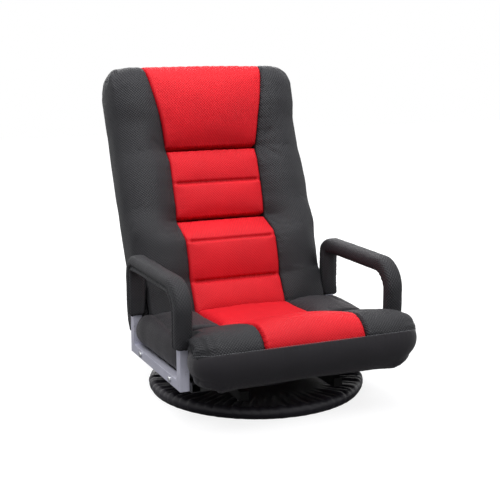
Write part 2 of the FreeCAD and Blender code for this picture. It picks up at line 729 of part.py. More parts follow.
def arm_bends(front, rear, top, bend_front, bend_rear):
    """The arm's side view from the foot of the front post over the top to the foot of the rear post."""
    near, far = ARC_SHARE * bend_front, ARC_SHARE * bend_rear

    def at(y, z):
        return (0, y, z)

    return [(at(front, top - bend_front), at(front + near, top - near), at(front + bend_front, top)),
            (at(rear - bend_rear, top), at(rear - far, top - far), at(rear, top - bend_rear))]


def arm_path(start):
    """The arm's centre line in the YZ plane, up the front post, over the top and down the rear post."""
    front, rear = -S["arm_front"], S["arm_rear"]
    first, second = arm_bends(front, rear, S["arm_top"], S["arm_front_bend"], S["arm_rear_bend"])
    return [line((0, front, start), first[0]), arc(*first), line(first[2], second[0]), arc(*second),
            line(second[2], (0, rear, start))]


def loop_outline(offset):
    """The closed outline of the arm tube, offset outwards from its centre line."""
    low = S["bolt_level"] - offset
    front, rear = -S["arm_front"] - offset, S["arm_rear"] + offset
    first, second = arm_bends(front, rear, S["arm_top"] + offset, S["arm_front_bend"] + offset,
                              S["arm_rear_bend"] + offset)
    edges = [line((0, front, low), first[0]), arc(*first), line(first[2], second[0]), arc(*second),
             line(second[2], (0, rear, low)), line((0, rear, low), (0, front, low))]
    return Part.Face(Part.Wire(edges))


def loop_solid(inset):
    """The arm tube's closed loop with its section drawn in by inset."""
    half = S["tube_side"] / 2 - inset
    face = loop_outline(half).cut(loop_outline(-half))
    solid = face.extrude(V(2 * half, 0, 0))
    solid.translate(V(-half, 0, 0))
    return solid


def rounded_section(half_x, half_y, corner, y, z):
    """A rounded rectangle in a level plane, about the front post."""
    share = corner * ARC_SHARE
    corners = ((1, 1), (-1, 1), (-1, -1), (1, -1))
    edges = []
    ends = []
    for sx, sy in corners:
        first = (sx * half_x, y + sy * (half_y - corner), z)
        middle = (sx * (half_x - share), y + sy * (half_y - share), z)
        last = (sx * (half_x - corner), y + sy * half_y, z)
        points = (first, middle, last) if sx * sy > 0 else (last, middle, first)
        ends.append((points[0], points[2]))
        edges.append(arc(*points))
    for index in range(4):
        edges.append(line(ends[index][1], ends[(index + 1) % 4][0]))
    return Part.Wire(Part.__sortEdges__(edges))


def arm_bolt(side, y):
    """A round-headed bolt through the arm tube and the seat rail."""
    outwards = V(side, 0, 0)
    place = V(side * (S["frame_half_width"] + S["tube_side"]), y, S["bolt_level"])
    length = 2 * S["tube_side"] + S["nut_rise"] + 1
    shank = Part.makeCylinder(S["bolt_radius"], length, place, -outwards)
    head = Part.makeCylinder(S["bolt_head_radius"], S["bolt_head_rise"], place, outwards)
    outer_rim = max(head.Edges, key=lambda edge: side * edge.CenterOfMass.x)
    head = head.makeFillet(S["bolt_head_rise"] * HEAD_ROUND_SHARE, [outer_rim])
    return shank.fuse(head).removeSplitter()


def arm_nut(side, y):
    """The nut on the seat rail's inner face."""
    outwards = V(side, 0, 0)
    seat = V(side * S["frame_inner"], y, S["bolt_level"])
    turns = [index * math.pi / 3 for index in range(7)]
    hexagon = [seat + V(0, math.cos(turn), math.sin(turn)) * S["nut_radius"] for turn in turns]
    nut = Part.Face(Part.makePolygon(hexagon)).extrude(-outwards * S["nut_rise"])
    return nut.cut(Part.makeCylinder(S["bolt_radius"], 2 * S["nut_rise"], seat + outwards, -outwards))


# Share of a bolt head's rise, or of a cap's depth, that is rounded
HEAD_ROUND_SHARE = 0.6


def make_arms():
    tube = loop_solid(0).cut(loop_solid(S["tube_wall"]))
    outside = pipe(arm_path(S["pad_start"]), rounded_section(
        S["pad_half_width"], S["pad_half_depth"], S["pad_corner"], -S["arm_front"], S["pad_start"]))
    half = S["tube_side"] / 2 + S["loose_gap"]
    low = S["pad_start"]
    square = Part.makePolygon([V(-half, -S["arm_front"] - half, low), V(half, -S["arm_front"] - half, low),
                               V(half, -S["arm_front"] + half, low), V(-half, -S["arm_front"] + half, low),
                               V(-half, -S["arm_front"] - half, low)])
    sleeve = outside.cut(pipe(arm_path(low), square))
    bolts, nuts = [], []
    for name, side in SIDES.items():
        centre = side * S["arm_centre"]
        frame = tube.copy()
        frame.translate(V(centre, 0, 0))
        for y in (-S["front_bolt_place"], S["rear_bolt_place"]):
            start = V(centre - S["tube_side"], y, S["bolt_level"])
            frame = frame.cut(Part.makeCylinder(S["bolt_hole_radius"], 2 * S["tube_side"], start, V(1, 0, 0)))
            bolts.append(arm_bolt(side, y))
            nuts.append(arm_nut(side, y))
        keep(f"arm_frame_{name}", shaped(f"arm_frame_{name}", frame))
        pad_shape = sleeve.copy()
        pad_shape.translate(V(centre, 0, 0))
        keep(f"arm_pad_{name}", shaped(f"arm_pad_{name}", pad_shape))
    keep("arm_bolts", shaped("arm_bolts", Part.makeCompound(bolts)))
    keep("arm_nuts", shaped("arm_nuts", Part.makeCompound(nuts)))


# Hinges

def side_offset(side, text):
    return ("-(" + text + ")") if side < 0 else text


def lean(item):
    """Set a piece drawn upright on the leaning back."""
    turn = FreeCAD.Rotation(V(-1, 0, 0), S["back_lean"])
    item.Placement = FreeCAD.Placement(V(0, S["pivot_y"], S["pivot_z"]), turn)
    bind(item, ".Placement.Base.y", "pivot_y")
    bind(item, ".Placement.Base.z", "pivot_z")
    bind(item, ".Placement.Rotation.Angle", "back_lean * 1 deg")
    return item


def make_fixed_plates():
    """Plates on the seat's side rails that carry the hinge pins and the pawl pins."""
    for name, side in SIDES.items():
        body = new_body(f"fixed_body_{name}")
        sketch = sketch_on(body, "YZ_Plane", f"fixed_outline_{name}", side_offset(side, "fixed_plate_inner"))
        outline(sketch, [("plate_front", "frame_base"), ("frame_rear", "frame_base"),
                         ("frame_rear", "pivot_z"), ("plate_front", "pivot_z")])
        pad(body, sketch, f"fixed_pad_{name}", "hinge_plate", side < 0)
        disc = sketch_on(body, "YZ_Plane", f"fixed_disc_{name}", side_offset(side, "fixed_plate_inner"))
        ring_line(disc, "fixed_plate_radius", ("pivot_y", "pivot_z"))
        pad(body, disc, f"fixed_disc_pad_{name}", "hinge_plate", side < 0)
        holes = sketch_on(body, "YZ_Plane", f"fixed_holes_{name}")
        ring_line(holes, "pin_radius", ("pivot_y", "pivot_z"))
        ring_line(holes, "pawl_pin_radius", ("pawl_y", "pawl_z"))
        pocket_through(body, holes, f"fixed_pocket_{name}")
        keep(f"hinge_plate_{name}", body)


def make_ratchet_plates():
    """Toothed plates that turn with the back on the hinge pins."""
    for name, side in SIDES.items():
        x = signed(side, "ratchet_inner", "ratchet_outer")
        disc = cylinder(f"ratchet_disc_{name}", "ratchet_radius", "hinge_plate", (x[0], "0", "0"), "x")
        arm = box(f"ratchet_arm_{name}", (x[0], "-tube_side / 2", "0"),
                  (x[1], "tube_side / 2", "ratchet_arm_length"))
        blank = fuse(f"ratchet_blank_{name}", [disc, arm])
        before = f"({x[0]}) - 1"
        through = "hinge_plate + 2"
        tools = [cylinder(f"ratchet_bore_{name}", "pin_bore_radius", through, (before, "0", "0"), "x")]
        for index in range(int(S["notch_count"])):
            turn = f"(270 + back_lean + notch_pitch * {index - 1})"
            place = (before, f"ratchet_radius * cos({turn})", f"ratchet_radius * sin({turn})")
            tools.append(cylinder(f"notch_{name}_{index}", "notch_radius", through, place, "x"))
        keep(f"ratchet_plate_{name}", lean(cut(f"ratchet_plate_{name}", blank, tools)))


def make_pins():
    pins, pawl_pins, washers = [], [], []
    for name, side in SIDES.items():
        outer = S["frame_inner"]
        inner = S["ratchet_inner"] - S["loose_gap"]
        place = V(side * inner, S["pivot_y"], S["pivot_z"])
        outwards = V(side, 0, 0)
        pin = Part.makeCylinder(S["pin_radius"], outer - inner, place, outwards)
        inner_head = Part.makeCylinder(S["pin_head_radius"], S["pin_head_rise"], place, -outwards)
        outer_head = Part.makeCylinder(S["pin_head_radius"], S["pin_head_rise"],
                                       V(side * outer, S["pivot_y"], S["pivot_z"]), outwards)
        pins.append(pin.fuse([inner_head, outer_head]).removeSplitter())
        start = S["ratchet_outer"] + S["running_gap"]
        thick = S["fixed_plate_inner"] - start
        near = V(side * start, S["pivot_y"], S["pivot_z"])
        ring = Part.makeCylinder(S["pin_head_radius"], thick, near, outwards)
        through = V(side * (start - thick), S["pivot_y"], S["pivot_z"])
        washers.append(ring.cut(Part.makeCylinder(S["pin_radius"], 3 * thick, through, outwards)))
        pawl_place = V(side * (S["pawl_inner"] - S["loose_gap"]), S["pawl_y"], S["pawl_z"])
        length = outer - S["pawl_inner"] + S["loose_gap"]
        shank = Part.makeCylinder(S["pawl_pin_radius"], length, pawl_place, outwards)
        flange = S["pawl_pin_flange"]
        head = Part.makeCylinder(S["pawl_pin_radius"] + flange, flange, pawl_place, -outwards)
        pawl_pins.append(shank.fuse(head).removeSplitter())
    keep("hinge_pins", shaped("hinge_pins", Part.makeCompound(pins)))
    keep("pawl_pins", shaped("pawl_pins", Part.makeCompound(pawl_pins)))
    keep("hinge_washers", shaped("hinge_washers", Part.makeCompound(washers)))


def make_pawls():
    """Levers whose noses drop into the notches; drawn engaged, then lifted clear."""
    for name, side in SIDES.items():
        x = signed(side, "pawl_inner", "pawl_inner + pawl_depth")
        tip = "pawl_reach + nose_radius"
        arm = box(f"pawl_arm_{name}", (x[0], "0", "-pawl_half_width"), (x[1], tip, "pawl_half_width"))
        hub = cylinder(f"pawl_hub_{name}", "pawl_hub_radius", "pawl_depth", (x[0], "0", "0"), "x")
        stem = box(f"pawl_stem_{name}", (x[0], "pawl_reach - nose_radius", "0"), (x[1], tip, "pawl_tooth"))
        nose_place = (x[0], "pawl_reach", "pawl_tooth")
        nose = cylinder(f"pawl_nose_{name}", "nose_radius", "pawl_depth", nose_place, "x")
        before = (f"({x[0]}) - 1", "0", "0")
        bore = cylinder(f"pawl_bore_{name}", "pawl_bore_radius", "pawl_depth + 2", before, "x")
        pawl = cut(f"pawl_{name}", fuse(f"pawl_blank_{name}", [arm, hub, stem, nose]), [bore])
        turn = FreeCAD.Rotation(V(-1, 0, 0), S["pawl_lift"])
        pawl.Placement = FreeCAD.Placement(V(0, S["pawl_y"], S["pawl_z"]), turn)
        bind(pawl, ".Placement.Base.y", "pawl_y")
        bind(pawl, ".Placement.Base.z", "pawl_z")
        bind(pawl, ".Placement.Rotation.Angle", "pawl_lift * 1 deg")
        keep(f"pawl_{name}", pawl)


# Direction of the skirt's tip from the pivot, in degrees from the rear over the top
# and its foot's share of the reach
CAP_SKIRT_TURN = 191
CAP_SKIRT_FOOT = 0.9


def make_hinge_caps():
    """Padded end caps that hide the hinges."""
    for name, side in SIDES.items():
        inner = S["frame_inner"] + S["pin_head_rise"] + S["loose_gap"]
        start = V(side * inner, S["pivot_y"], S["pivot_z"])
        cap = Part.makeCylinder(S["cap_radius"], S["cap_depth"], start, V(side, 0, 0))
        room, outer = 2 * S["cap_radius"], inner + 2 * S["cap_depth"]
        below = block((-outer, S["pivot_y"] - room, S["cap_base"] - room),
                      (outer, S["pivot_y"] + room, S["cap_base"]))
        round_edges = [edge for edge in cap.Edges if edge.Length > S["cap_radius"]]
        rim = max(round_edges, key=lambda edge: side * edge.CenterOfMass.x)
        cap = cap.makeFillet(S["cap_depth"] * HEAD_ROUND_SHARE, [rim])
        reach = S["cap_skirt_reach"]
        tip = math.radians(CAP_SKIRT_TURN)
        tip_y, tip_z = S["pivot_y"] + reach * math.cos(tip), S["pivot_z"] + reach * math.sin(tip)
        corners = [V(side * inner, S["pivot_y"], S["cap_base"]),
                   V(side * inner, S["pivot_y"] - reach * CAP_SKIRT_FOOT, S["cap_base"]),
                   V(side * inner, tip_y, tip_z),
                   V(side * inner, S["pivot_y"], S["pivot_z"])]
        skirt = Part.Face(Part.makePolygon(corners + corners[:1])).extrude(V(side * S["cap_depth"], 0, 0))
        cap = cap.fuse(skirt).cut(below).removeSplitter()
        keep(f"hinge_cap_{name}", shaped(f"hinge_cap_{name}", cap))


# Back frame

def make_back_frame():
    for name, side in SIDES.items():
        x = signed(side, "back_tube_inner", "ratchet_inner")
        tube = square_tube(f"back_tube_{name}", (x[0], "-tube_side / 2", "back_tube_start"),
                           (x[1], "tube_side / 2", "back_tube_end"), 2)
        keep(f"back_tube_{name}", lean(tube))
    cross_tubes = {"back_tube_top": "back_tube_end - tube_side", "back_tube_lower": "lower_tube_start"}
    for name, low in cross_tubes.items():
        tube = square_tube(name, ("-back_tube_inner", "-tube_side / 2", low),
                           ("back_tube_inner", "tube_side / 2", f"{low} + tube_side"), 0)
        keep(name, lean(tube))
    straps = []
    for index in range(int(S["strap_count"])):
        low = f"strap_first + strap_pitch * {index}"
        straps.append(box(f"strap_{index}", ("-ratchet_inner", "tube_side / 2", low),
                          ("ratchet_inner", "tube_side / 2 + strap_depth", f"{low} + strap_width")))
    keep("back_straps", lean(group("back_straps", straps)))


# Back cushion, drawn upright: heights run up the back from the pivot, depths are negative to the front

def frame_pocket():
    """The flat space inside the back cushion that holds the frame and the straps."""
    gap = S["pocket_gap"]
    wide = S["ratchet_outer"] + S["pocket_side_gap"]
    return block((-wide, -S["tube_side"] / 2 - gap, S["back_tube_start"] - 1),
                 (wide, S["tube_side"] / 2 + S["strap_depth"] + gap, S["back_tube_end"] + 1))


def centre_section(height, half, front, crown, rear):
    """A level slice of a centre panel, bowed forward by crown."""
    return [line((-half, rear, height), (-half, front, height)),
            arc((-half, front, height), (0, front - crown, height), (half, front, height)),
            line((half, front, height), (half, rear, height)),
            line((half, rear, height), (-half, rear, height))]


# Height, flare beyond the strip's half width and front depth of each centre panel's slices;
# a shallow pair of slices is a sewn channel
LUMBAR = ((-50, 0, -44), (-38, 0, -74), (-20, 0, -87), (-8, 0, -90), (25, 0, -86), (55, 0, -78),
          (59, 0, -74), (63, 0, -79), (105, 0, -87), (147, 0, -88), (152, 0, -84), (157, 0, -85),
          (181, 0, -63), (203, 0, -38), (209, 0, -31))
MIDDLE = ((210.5, 0, -31), (220, 0, -41), (255, 0, -46), (291, 0, -47), (296, 0, -43),
          (301, 0, -47), (343, 0, -46), (370, 0, -39), (378, 1, -31))
HEADREST = ((379.5, 2, -31), (390, 3, -43), (436, 9, -58), (495, 21, -66), (550, 32, -62),
            (570, 36, -50), (581, 37, -26))


def centre_panel(slices, crown, rear):
    sections = []
    for height, flare, front in slices:
        sections.append(centre_section(height, S["strip_inset"] + flare, front, crown, rear))
    return loft(sections)


# Height, flare of the inner edge, how far the outer edge stands in from the cushion's own half width,
# then front depth at the inner edge, the crest and the outer edge, and rear depth
LOWER_BOLSTER = ((-50, 0, 2, -44, -45, -42, -11), (-38, 0, 0, -74, -76, -72, -11),
                 (-8, 0, 0, -89, -90, -88, -11), (25, 0, 0, -86, -90, -84, -11),
                 (66, 0, 0, -78, -90, -84, -11))
UPPER_BOLSTER = ((66, 0, 8, -78, -90, -74, 30), (110, 0, 7, -86, -94, -73, 33),
                 (150, 0, 7, -86, -95, -74, 28), (181, 0, 5, -63, -88, -71, 27),
                 (209, 0, 2, -34, -78, -64, 26), (243, 0, 0, -43, -72, -58, 26),
                 (292, 0, 0, -44, -71, -55, 30), (343, 0, 0, -45, -66, -50, 38),
                 (379, 3, 0, -34, -60, -44, 40), (436, 10, 0, -52, -60, -42, 41),
                 (490, 20, -2, -62, -68, -49, 47), (530, 28, -1, -62, -68, -50, 45),
                 (556, 34, 6, -56, -60, -40, 38), (573, 37, 22, -44, -46, -30, 26),
                 (583, 39, 44, -20, -20, -14, 8))


def bolster_section(side, row, half_width):
    """A level slice of a side bolster: front crown, rounded outer side, flat rear."""
    height, flare, inset, front_in, crest, front_out, rear = row
    inner = S["strip_edge"] + flare
    outer = half_width - inset
    turn = min(S["bolster_round"], (outer - inner) / 3)
    middle = (inner + outer) / 2

    def at(x, depth):
        return (side * x, depth, height)

    front_end = at(outer - turn, front_out)
    rear_end = at(outer - turn, rear)
    return [line(at(inner, rear), at(inner, front_in)),
            arc(at(inner, front_in), at(middle, crest), front_end),
            arc(front_end, at(outer, (front_out + rear) / 2), rear_end),
            line(rear_end, at(inner, rear))]


# The shoulder's ends, in degrees from the rear over the top, and its corners as shares of its radii
SHOULDER_FRONT, SHOULDER_REAR = 194, 12
SHOULDER_BEND = (0.98, 0.18)
SHOULDER_TOP = 0.88
SHOULDER_HEEL = (0.75, 0.93, 0.6)
SHOULDER_REAR_INSET = 14


def hinge_shoulder(side):
    """The bolster's outer side below the waist: a ring round the hinge cap, open underneath."""
    overlap = 2
    inner = S["lobe_half_width"] - overlap
    outer = S["back_half_width"] - UPPER_BOLSTER[0][2]
    rim = S["lobe_radius"] - overlap
    waist = S["waist_start"]
    rear = S["lobe_radius"] - SHOULDER_REAR_INSET
    front_end, rear_end = math.radians(SHOULDER_FRONT), math.radians(SHOULDER_REAR)

    def at(depth, height):
        return (side * inner, depth, height)

    tip = at(rim * math.cos(front_end), rim * math.sin(front_end))
    top = at(-rim * SHOULDER_TOP, waist)
    back = at(rear * SHOULDER_HEEL[0], waist)
    heel = at(rear * math.cos(rear_end), rear * math.sin(rear_end))
    edges = [arc(tip, at(-rim * SHOULDER_BEND[0], rim * SHOULDER_BEND[1]), top),
             line(top, back),
             arc(back, at(rear * SHOULDER_HEEL[1], waist * SHOULDER_HEEL[2]), heel),
             line(heel, at(0, 0)),
             line(at(0, 0), tip)]
    solid = Part.Face(Part.Wire(edges)).extrude(V(side * (outer - inner), 0, 0))
    centre = V(side * (inner - 1), 0, 0)
    room = S["cap_radius"] + S["cap_swing_gap"]
    return solid.cut(Part.makeCylinder(room, outer, centre, V(side, 0, 0)))


def make_back_cushion():
    rear = -S["tube_side"] / 2 - S["pocket_gap"]
    crown = S["panel_crown"]
    keep("lumbar_centre", lean(shaped("lumbar_centre", centre_panel(LUMBAR, crown, rear))))
    keep("back_centre", lean(shaped("back_centre", centre_panel(MIDDLE, S["middle_crown"], rear))))
    top = [row for row in HEADREST if row[0] > S["back_tube_end"] + S["pocket_gap"]]
    headrest = centre_panel(HEADREST, crown, rear).fuse(centre_panel(top, crown, S["top_rear"]))
    keep("headrest_centre", lean(shaped("headrest_centre", headrest.removeSplitter())))
    for name, side in SIDES.items():
        lower = loft([bolster_section(side, row, S["lobe_half_width"]) for row in LOWER_BOLSTER])
        upper = loft([bolster_section(side, row, S["back_half_width"]) for row in UPPER_BOLSTER])
        bolster = lower.fuse([upper, hinge_shoulder(side)]).cut(frame_pocket())
        keep(f"back_bolster_{name}", lean(shaped(f"back_bolster_{name}", bolster)))


def make_lower_pad():
    """The rounded pad round the back's lower end, behind the centre panel."""
    wide = S["lobe_half_width"] - S["lower_pad_inset"]
    front = -S["tube_side"] / 2
    step = S["tube_side"] / 2 + S["strap_depth"] + 1
    ledge = S["back_tube_start"] - 1
    top = S["waist_start"] - S["lobe_swing_gap"]

    def at(depth, height):
        return (-wide, depth, height)

    rear = at(S["lower_pad_rear"], top)
    belly = at(S["lower_pad_belly"], S["lower_pad_belly_rise"])
    heel = at(S["lower_pad_heel"], -S["lower_pad_heel_drop"])
    toe = at(S["lower_pad_toe"], -S["lower_pad_toe_drop"])
    foot = at(front, -S["lower_pad_drop"])
    edges = [line(at(front, ledge), at(step, ledge)),
             line(at(step, ledge), at(step, top)),
             line(at(step, top), rear),
             arc(rear, belly, heel),
             arc(heel, toe, foot),
             line(foot, at(front, ledge))]
    solid = Part.Face(Part.Wire(edges)).extrude(V(2 * wide, 0, 0))
    keep("lower_pad", lean(shaped("lower_pad", solid)))


def make_rear_cover():
    """The back's rear cloth, laid on the bolsters."""
    gap, thick = S["loose_gap"], S["rear_cloth"]
    sections = []
    for row in UPPER_BOLSTER[:-1]:
        height, rear = row[0], row[-1]
        wide = min(S["rear_cover_half_width"], S["back_half_width"] - row[2] - S["cover_inset"])
        corners = [V(-wide, rear + gap, height), V(wide, rear + gap, height),
                   V(wide, rear + gap + thick, height), V(-wide, rear + gap + thick, height)]
        sections.append([Part.makeLine(corners[k], corners[(k + 1) % 4]) for k in range(4)])
    keep("rear_cover", lean(shaped("rear_cover", loft(sections))))


make_base_ring()
make_base_spokes()
make_base_feet()
make_base_cover()
make_lower_swivel_plate()
make_upper_swivel_plate()
make_bearing()
make_swivel_bolt()
make_swivel_rails()
make_seat_frame()
make_seat_springs()
make_seat_centre()
make_seat_wedges()
make_front_roll()
make_front_border()
make_arms()
make_fixed_plates()
make_ratchet_plates()
make_pins()
make_pawls()
make_hinge_caps()
make_back_frame()
make_back_cushion()
make_lower_pad()
make_rear_cover()

doc.recompute()
for item in doc.Objects:
    if "Invalid" in item.State or "Error" in item.State:
        raise RuntimeError(f"{item.Name} failed to build")
for name, item in parts.items():
    shape = item.Shape
    if shape.isNull() or not shape.isValid() or not shape.Solids:
        raise RuntimeError(f"{name} has no sound shape")
for name, item in parts.items():
    item.Shape.exportStep(f"parts/{name}.step")
print(len(parts), "parts written")
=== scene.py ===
"""The floor gaming chair's cushions, cloth and finishes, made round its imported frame."""
import json
import math

import bpy
import numpy as np
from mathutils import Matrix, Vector


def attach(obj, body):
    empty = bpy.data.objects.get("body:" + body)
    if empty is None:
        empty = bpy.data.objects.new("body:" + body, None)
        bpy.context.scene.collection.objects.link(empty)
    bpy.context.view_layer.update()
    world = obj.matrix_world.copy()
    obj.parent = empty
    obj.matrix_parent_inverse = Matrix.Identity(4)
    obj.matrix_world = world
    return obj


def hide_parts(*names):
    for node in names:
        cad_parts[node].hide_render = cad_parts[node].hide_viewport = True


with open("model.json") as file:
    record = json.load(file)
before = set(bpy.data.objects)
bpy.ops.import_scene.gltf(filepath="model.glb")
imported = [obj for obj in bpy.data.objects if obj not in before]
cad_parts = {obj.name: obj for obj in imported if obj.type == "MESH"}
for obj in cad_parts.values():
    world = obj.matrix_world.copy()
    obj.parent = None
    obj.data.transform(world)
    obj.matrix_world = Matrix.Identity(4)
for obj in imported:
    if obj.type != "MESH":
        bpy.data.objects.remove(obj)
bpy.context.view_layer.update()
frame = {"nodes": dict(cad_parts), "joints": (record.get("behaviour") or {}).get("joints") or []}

bl_info = {
    "name": "Floor Gaming Chair",
    "version": (1, 0, 0),
    "blender": (4, 5, 0),
    "location": "3D View > Sidebar > Floor Chair",
    "description": "Makes the cushions, cloth and finishes of a floor gaming chair",
    "category": "Object",
}

MM = 0.001
LEAN = math.radians(19.5)  # how far the back leans at rest
PIVOT_Y, PIVOT_Z = (1000 * value for value in
                    next(j for j in frame["joints"] if j["name"] == "recline")["pos_m"][1:])
SIDES = {"left": -1, "right": 1}
SIDE_WORDS = {side: word for word, side in SIDES.items()}


def tone(red, green, blue):
    """A colour written from 0 to 255 as the linear values that a shader takes."""
    shares = [value / 255 for value in (red, green, blue)]
    return tuple(s / 12.92 if s <= 0.04045 else ((s + 0.055) / 1.055) ** 2.4 for s in shares)


def length(name, description, default, low, high):
    """A size in metres that a user can change."""
    return bpy.props.FloatProperty(name=name, description=description, default=default, min=low,
                                   max=high, unit="LENGTH", subtype="DISTANCE", precision=4)


def colour(name, description, default):
    """A colour that a user can change, written from 0 to 255."""
    return bpy.props.FloatVectorProperty(name=name, description=description, default=tone(*default),
                                         size=3, min=0, max=1, subtype="COLOR")


class ChairSizes(bpy.types.PropertyGroup):
    """Sizes of the cloth, seams and stitches"""
    mesh_pitch: length("Mesh pitch", "Distance between the holes of the air mesh", 0.0064, 0.003, 0.015)
    swell: length("Swell", "How far a cushion's cloth may bulge between its seams", 0.008, 0.0, 0.03)
    seam_depth: length("Seam depth", "Depth of a stitched seam", 0.005, 0.0, 0.01)
    thread: length("Thread", "Thickness of the sewing thread", 0.0011, 0.0003, 0.003)
    stitch: length("Stitch", "Length of one stitch", 0.0052, 0.002, 0.012)
    piping: length("Piping", "Thickness of the piping cord", 0.0036, 0.001, 0.008)
    pleat: length("Pleat", "Height of the pleats in the base cover", 0.0046, 0.0, 0.008)
    pleat_count: bpy.props.IntProperty(name="Pleats", description="Pleats round the base cover",
                                       default=72, min=20, max=200)
    wrinkle: bpy.props.FloatProperty(name="Wrinkles", description="Strength of the cloth's wrinkles",
                                     default=1.0, min=0, max=2, subtype="FACTOR")


class ChairColours(bpy.types.PropertyGroup):
    """Colours of the chair's materials"""
    red_mesh: colour("Red mesh", "Centre panels of the back and seat", (192, 12, 27))
    black_mesh: colour("Black mesh", "Side bolsters, front roll and arm sleeves", (38, 38, 41))
    black_cloth: colour("Black cloth", "Seat sides, front band and rear cloth", (34, 32, 36))
    cover_cloth: colour("Cover cloth", "Gathered base cover", (42, 40, 46))
    black_paint: colour("Black paint", "Ring, rails and back frame", (20, 20, 22))
    silver_paint: colour("Silver paint", "Arm tubes", (200, 200, 215))
    zinc: colour("Zinc", "Bolts, nuts, balls and clips", (196, 198, 200))
    rubber: colour("Rubber", "Feet", (30, 30, 30))
    plastic: colour("Plastic", "Ball cage and rail plugs", (9, 9, 9))
    webbing: colour("Webbing", "Elastic straps in the back", (46, 46, 46))
    pale_thread: colour("Pale thread", "Stitches of the front seam", (92, 92, 97))
    red_thread: colour("Red thread", "Stitches on the red panels", (190, 12, 26))
    floor: colour("Floor", "Floor under the chair", (122, 122, 124))


def sizes():
    """The sizes that the user has set."""
    return bpy.context.scene.chair_sizes


def colours():
    """The colours that the user has set."""
    return bpy.context.scene.chair_colours


# Finishes

class Finish:
    """A material with its nodes, laid out as it is built."""

    SETTINGS = ("operation", "samples")

    def __init__(self, name, **values):
        self.material = bpy.data.materials.new(name)
        self.material.use_nodes = True
        self.nodes = self.material.node_tree.nodes
        self.links = self.material.node_tree.links
        self.shader = self.nodes["Principled BSDF"]
        for key, value in values.items():
            self.shader.inputs[key].default_value = value

    def node(self, kind, **inputs):
        """A new node; each input is a socket to link from or a value, named or as i0, i1 and so on."""
        made = self.nodes.new(kind)
        for key in self.SETTINGS:
            if key in inputs:
                setattr(made, key, inputs.pop(key))
        for key, value in inputs.items():
            self.plug(made, key, value)
        return made

    def plug(self, made, key, value):
        """Links a socket to an input of a node, or sets the input's value."""
        socket = made.inputs[int(key[1:])] if key[0] == "i" and key[1:].isdigit() else made.inputs[key]
        if isinstance(value, bpy.types.NodeSocket):
            self.links.new(value, socket)
        else:
            socket.default_value = value

    def math(self, operation, first, second=0.0, third=0.0):
        """A sum of up to three values or sockets."""
        return self.node("ShaderNodeMath", operation=operation, i0=first, i1=second, i2=third).outputs[0]

    def noise(self, place, scale, detail=2.0, roughness=0.5):
        """Noise from 0 to 1, with scale lumps to a metre."""
        return self.node("ShaderNodeTexNoise", Vector=place, Scale=scale, Detail=detail,
                         Roughness=roughness).outputs["Fac"]

    def ramp(self, value, low, high, to_low=0.0, to_high=1.0):
        """A value between low and high, spread between to_low and to_high."""
        made = self.node("ShaderNodeMapRange", Value=value)
        for key, number in (("From Min", low), ("From Max", high), ("To Min", to_low), ("To Max", to_high)):
            made.inputs[key].default_value = number
        return made.outputs["Result"]

    def mix(self, share, first, second):
        """The second colour laid over the first by a share from 0 to 1."""
        made = self.nodes.new("ShaderNodeMix")
        made.data_type = "RGBA"
        for index, value in ((0, share), (6, first), (7, second)):
            if isinstance(value, bpy.types.NodeSocket):
                self.links.new(value, made.inputs[index])
            else:
                made.inputs[index].default_value = (*value, 1) if index else value
        return made.outputs[2]

    def relief(self, height, strength, distance, under=None):
        """A bump of this height in metres, over another normal where one is given."""
        made = self.node("ShaderNodeBump", Height=height, Strength=strength, Distance=distance)
        if under is not None:
            self.links.new(under, made.inputs["Normal"])
        return made.outputs["Normal"]

    def bevel(self, radius):
        """A normal with the outer edges rounded by this radius."""
        return self.node("ShaderNodeBevel", samples=4, Radius=radius).outputs["Normal"]

    def surface(self, face, roughness, normal, settings=()):
        """Links what was laid out to the shader, sets its other inputs and gives the material."""
        linked = {"Base Color": face, "Roughness": roughness, "Normal": normal}
        for key, value in {**linked, **dict(settings)}.items():
            self.plug(self.shader, key, value)
        return self.material

    def place(self):
        """A point on the object, in metres, which doesn't move with the camera."""
        return self.node("ShaderNodeTexCoord").outputs["Object"]

    def wear(self):
        """How far a point stands on an outer edge, from 0 to 1."""
        edge = self.node("ShaderNodeNewGeometry").outputs["Pointiness"]
        return self.ramp(edge, 0.515, 0.6)


def shade(base, share):
    """A colour made lighter or darker."""
    return tuple(min(1.0, value * share) for value in base)


def weave_of(finish, pitch):
    """Two waves across the cloth, one along its width and one along its length."""
    cloth = finish.nodes.new("ShaderNodeUVMap")
    cloth.uv_map = "weave"
    parts = finish.node("ShaderNodeSeparateXYZ", Vector=cloth.outputs["UV"])
    waves = []
    for axis in ("X", "Y"):
        turn = finish.math("MULTIPLY", parts.outputs[axis], 2 * math.pi / pitch)
        waves.append(finish.math("COSINE", turn))
    return waves


def air_mesh(name, base, roughness, sheen, depth):
    """Knitted air mesh: staggered holes in a raised net; depth, from 0 to 1, sets their bump and how dark the
    holes are painted as shade.
    """
    made = Finish(name)
    pitch = sizes().mesh_pitch
    across, along = weave_of(made, pitch)
    net = made.math("MULTIPLY", across, along)
    hole = made.ramp(net, 0.2, 0.8)
    place = made.place()
    fibres = made.noise(place, 1400, 3)
    patches = made.noise(place, 9, 3)
    face = made.mix(made.ramp(patches, 0.3, 0.7), shade(base, 0.9), shade(base, 1.1))
    face = made.mix(made.ramp(fibres, 0.35, 0.7, 0, 0.35), face, shade(base, 1.5))
    face = made.mix(made.math("MULTIPLY", made.wear(), 0.25), face, shade(base, 1.7))
    # painted shade: the holes are darkened by a share of depth, standing for the shade inside them
    face = made.mix(made.math("MULTIPLY", hole, depth), face, shade(base, 0.3))
    dull = made.ramp(fibres, 0.2, 0.8, roughness - 0.08, roughness + 0.08)
    return made.surface(face, dull, made.relief(net, depth, -0.0013, made.relief(fibres, 0.25, 0.0004)), {
        "Sheen Weight": sheen, "Sheen Roughness": 0.45, "Sheen Tint": (*shade(base, 2.2), 1),
        "Specular IOR Level": 0.22})


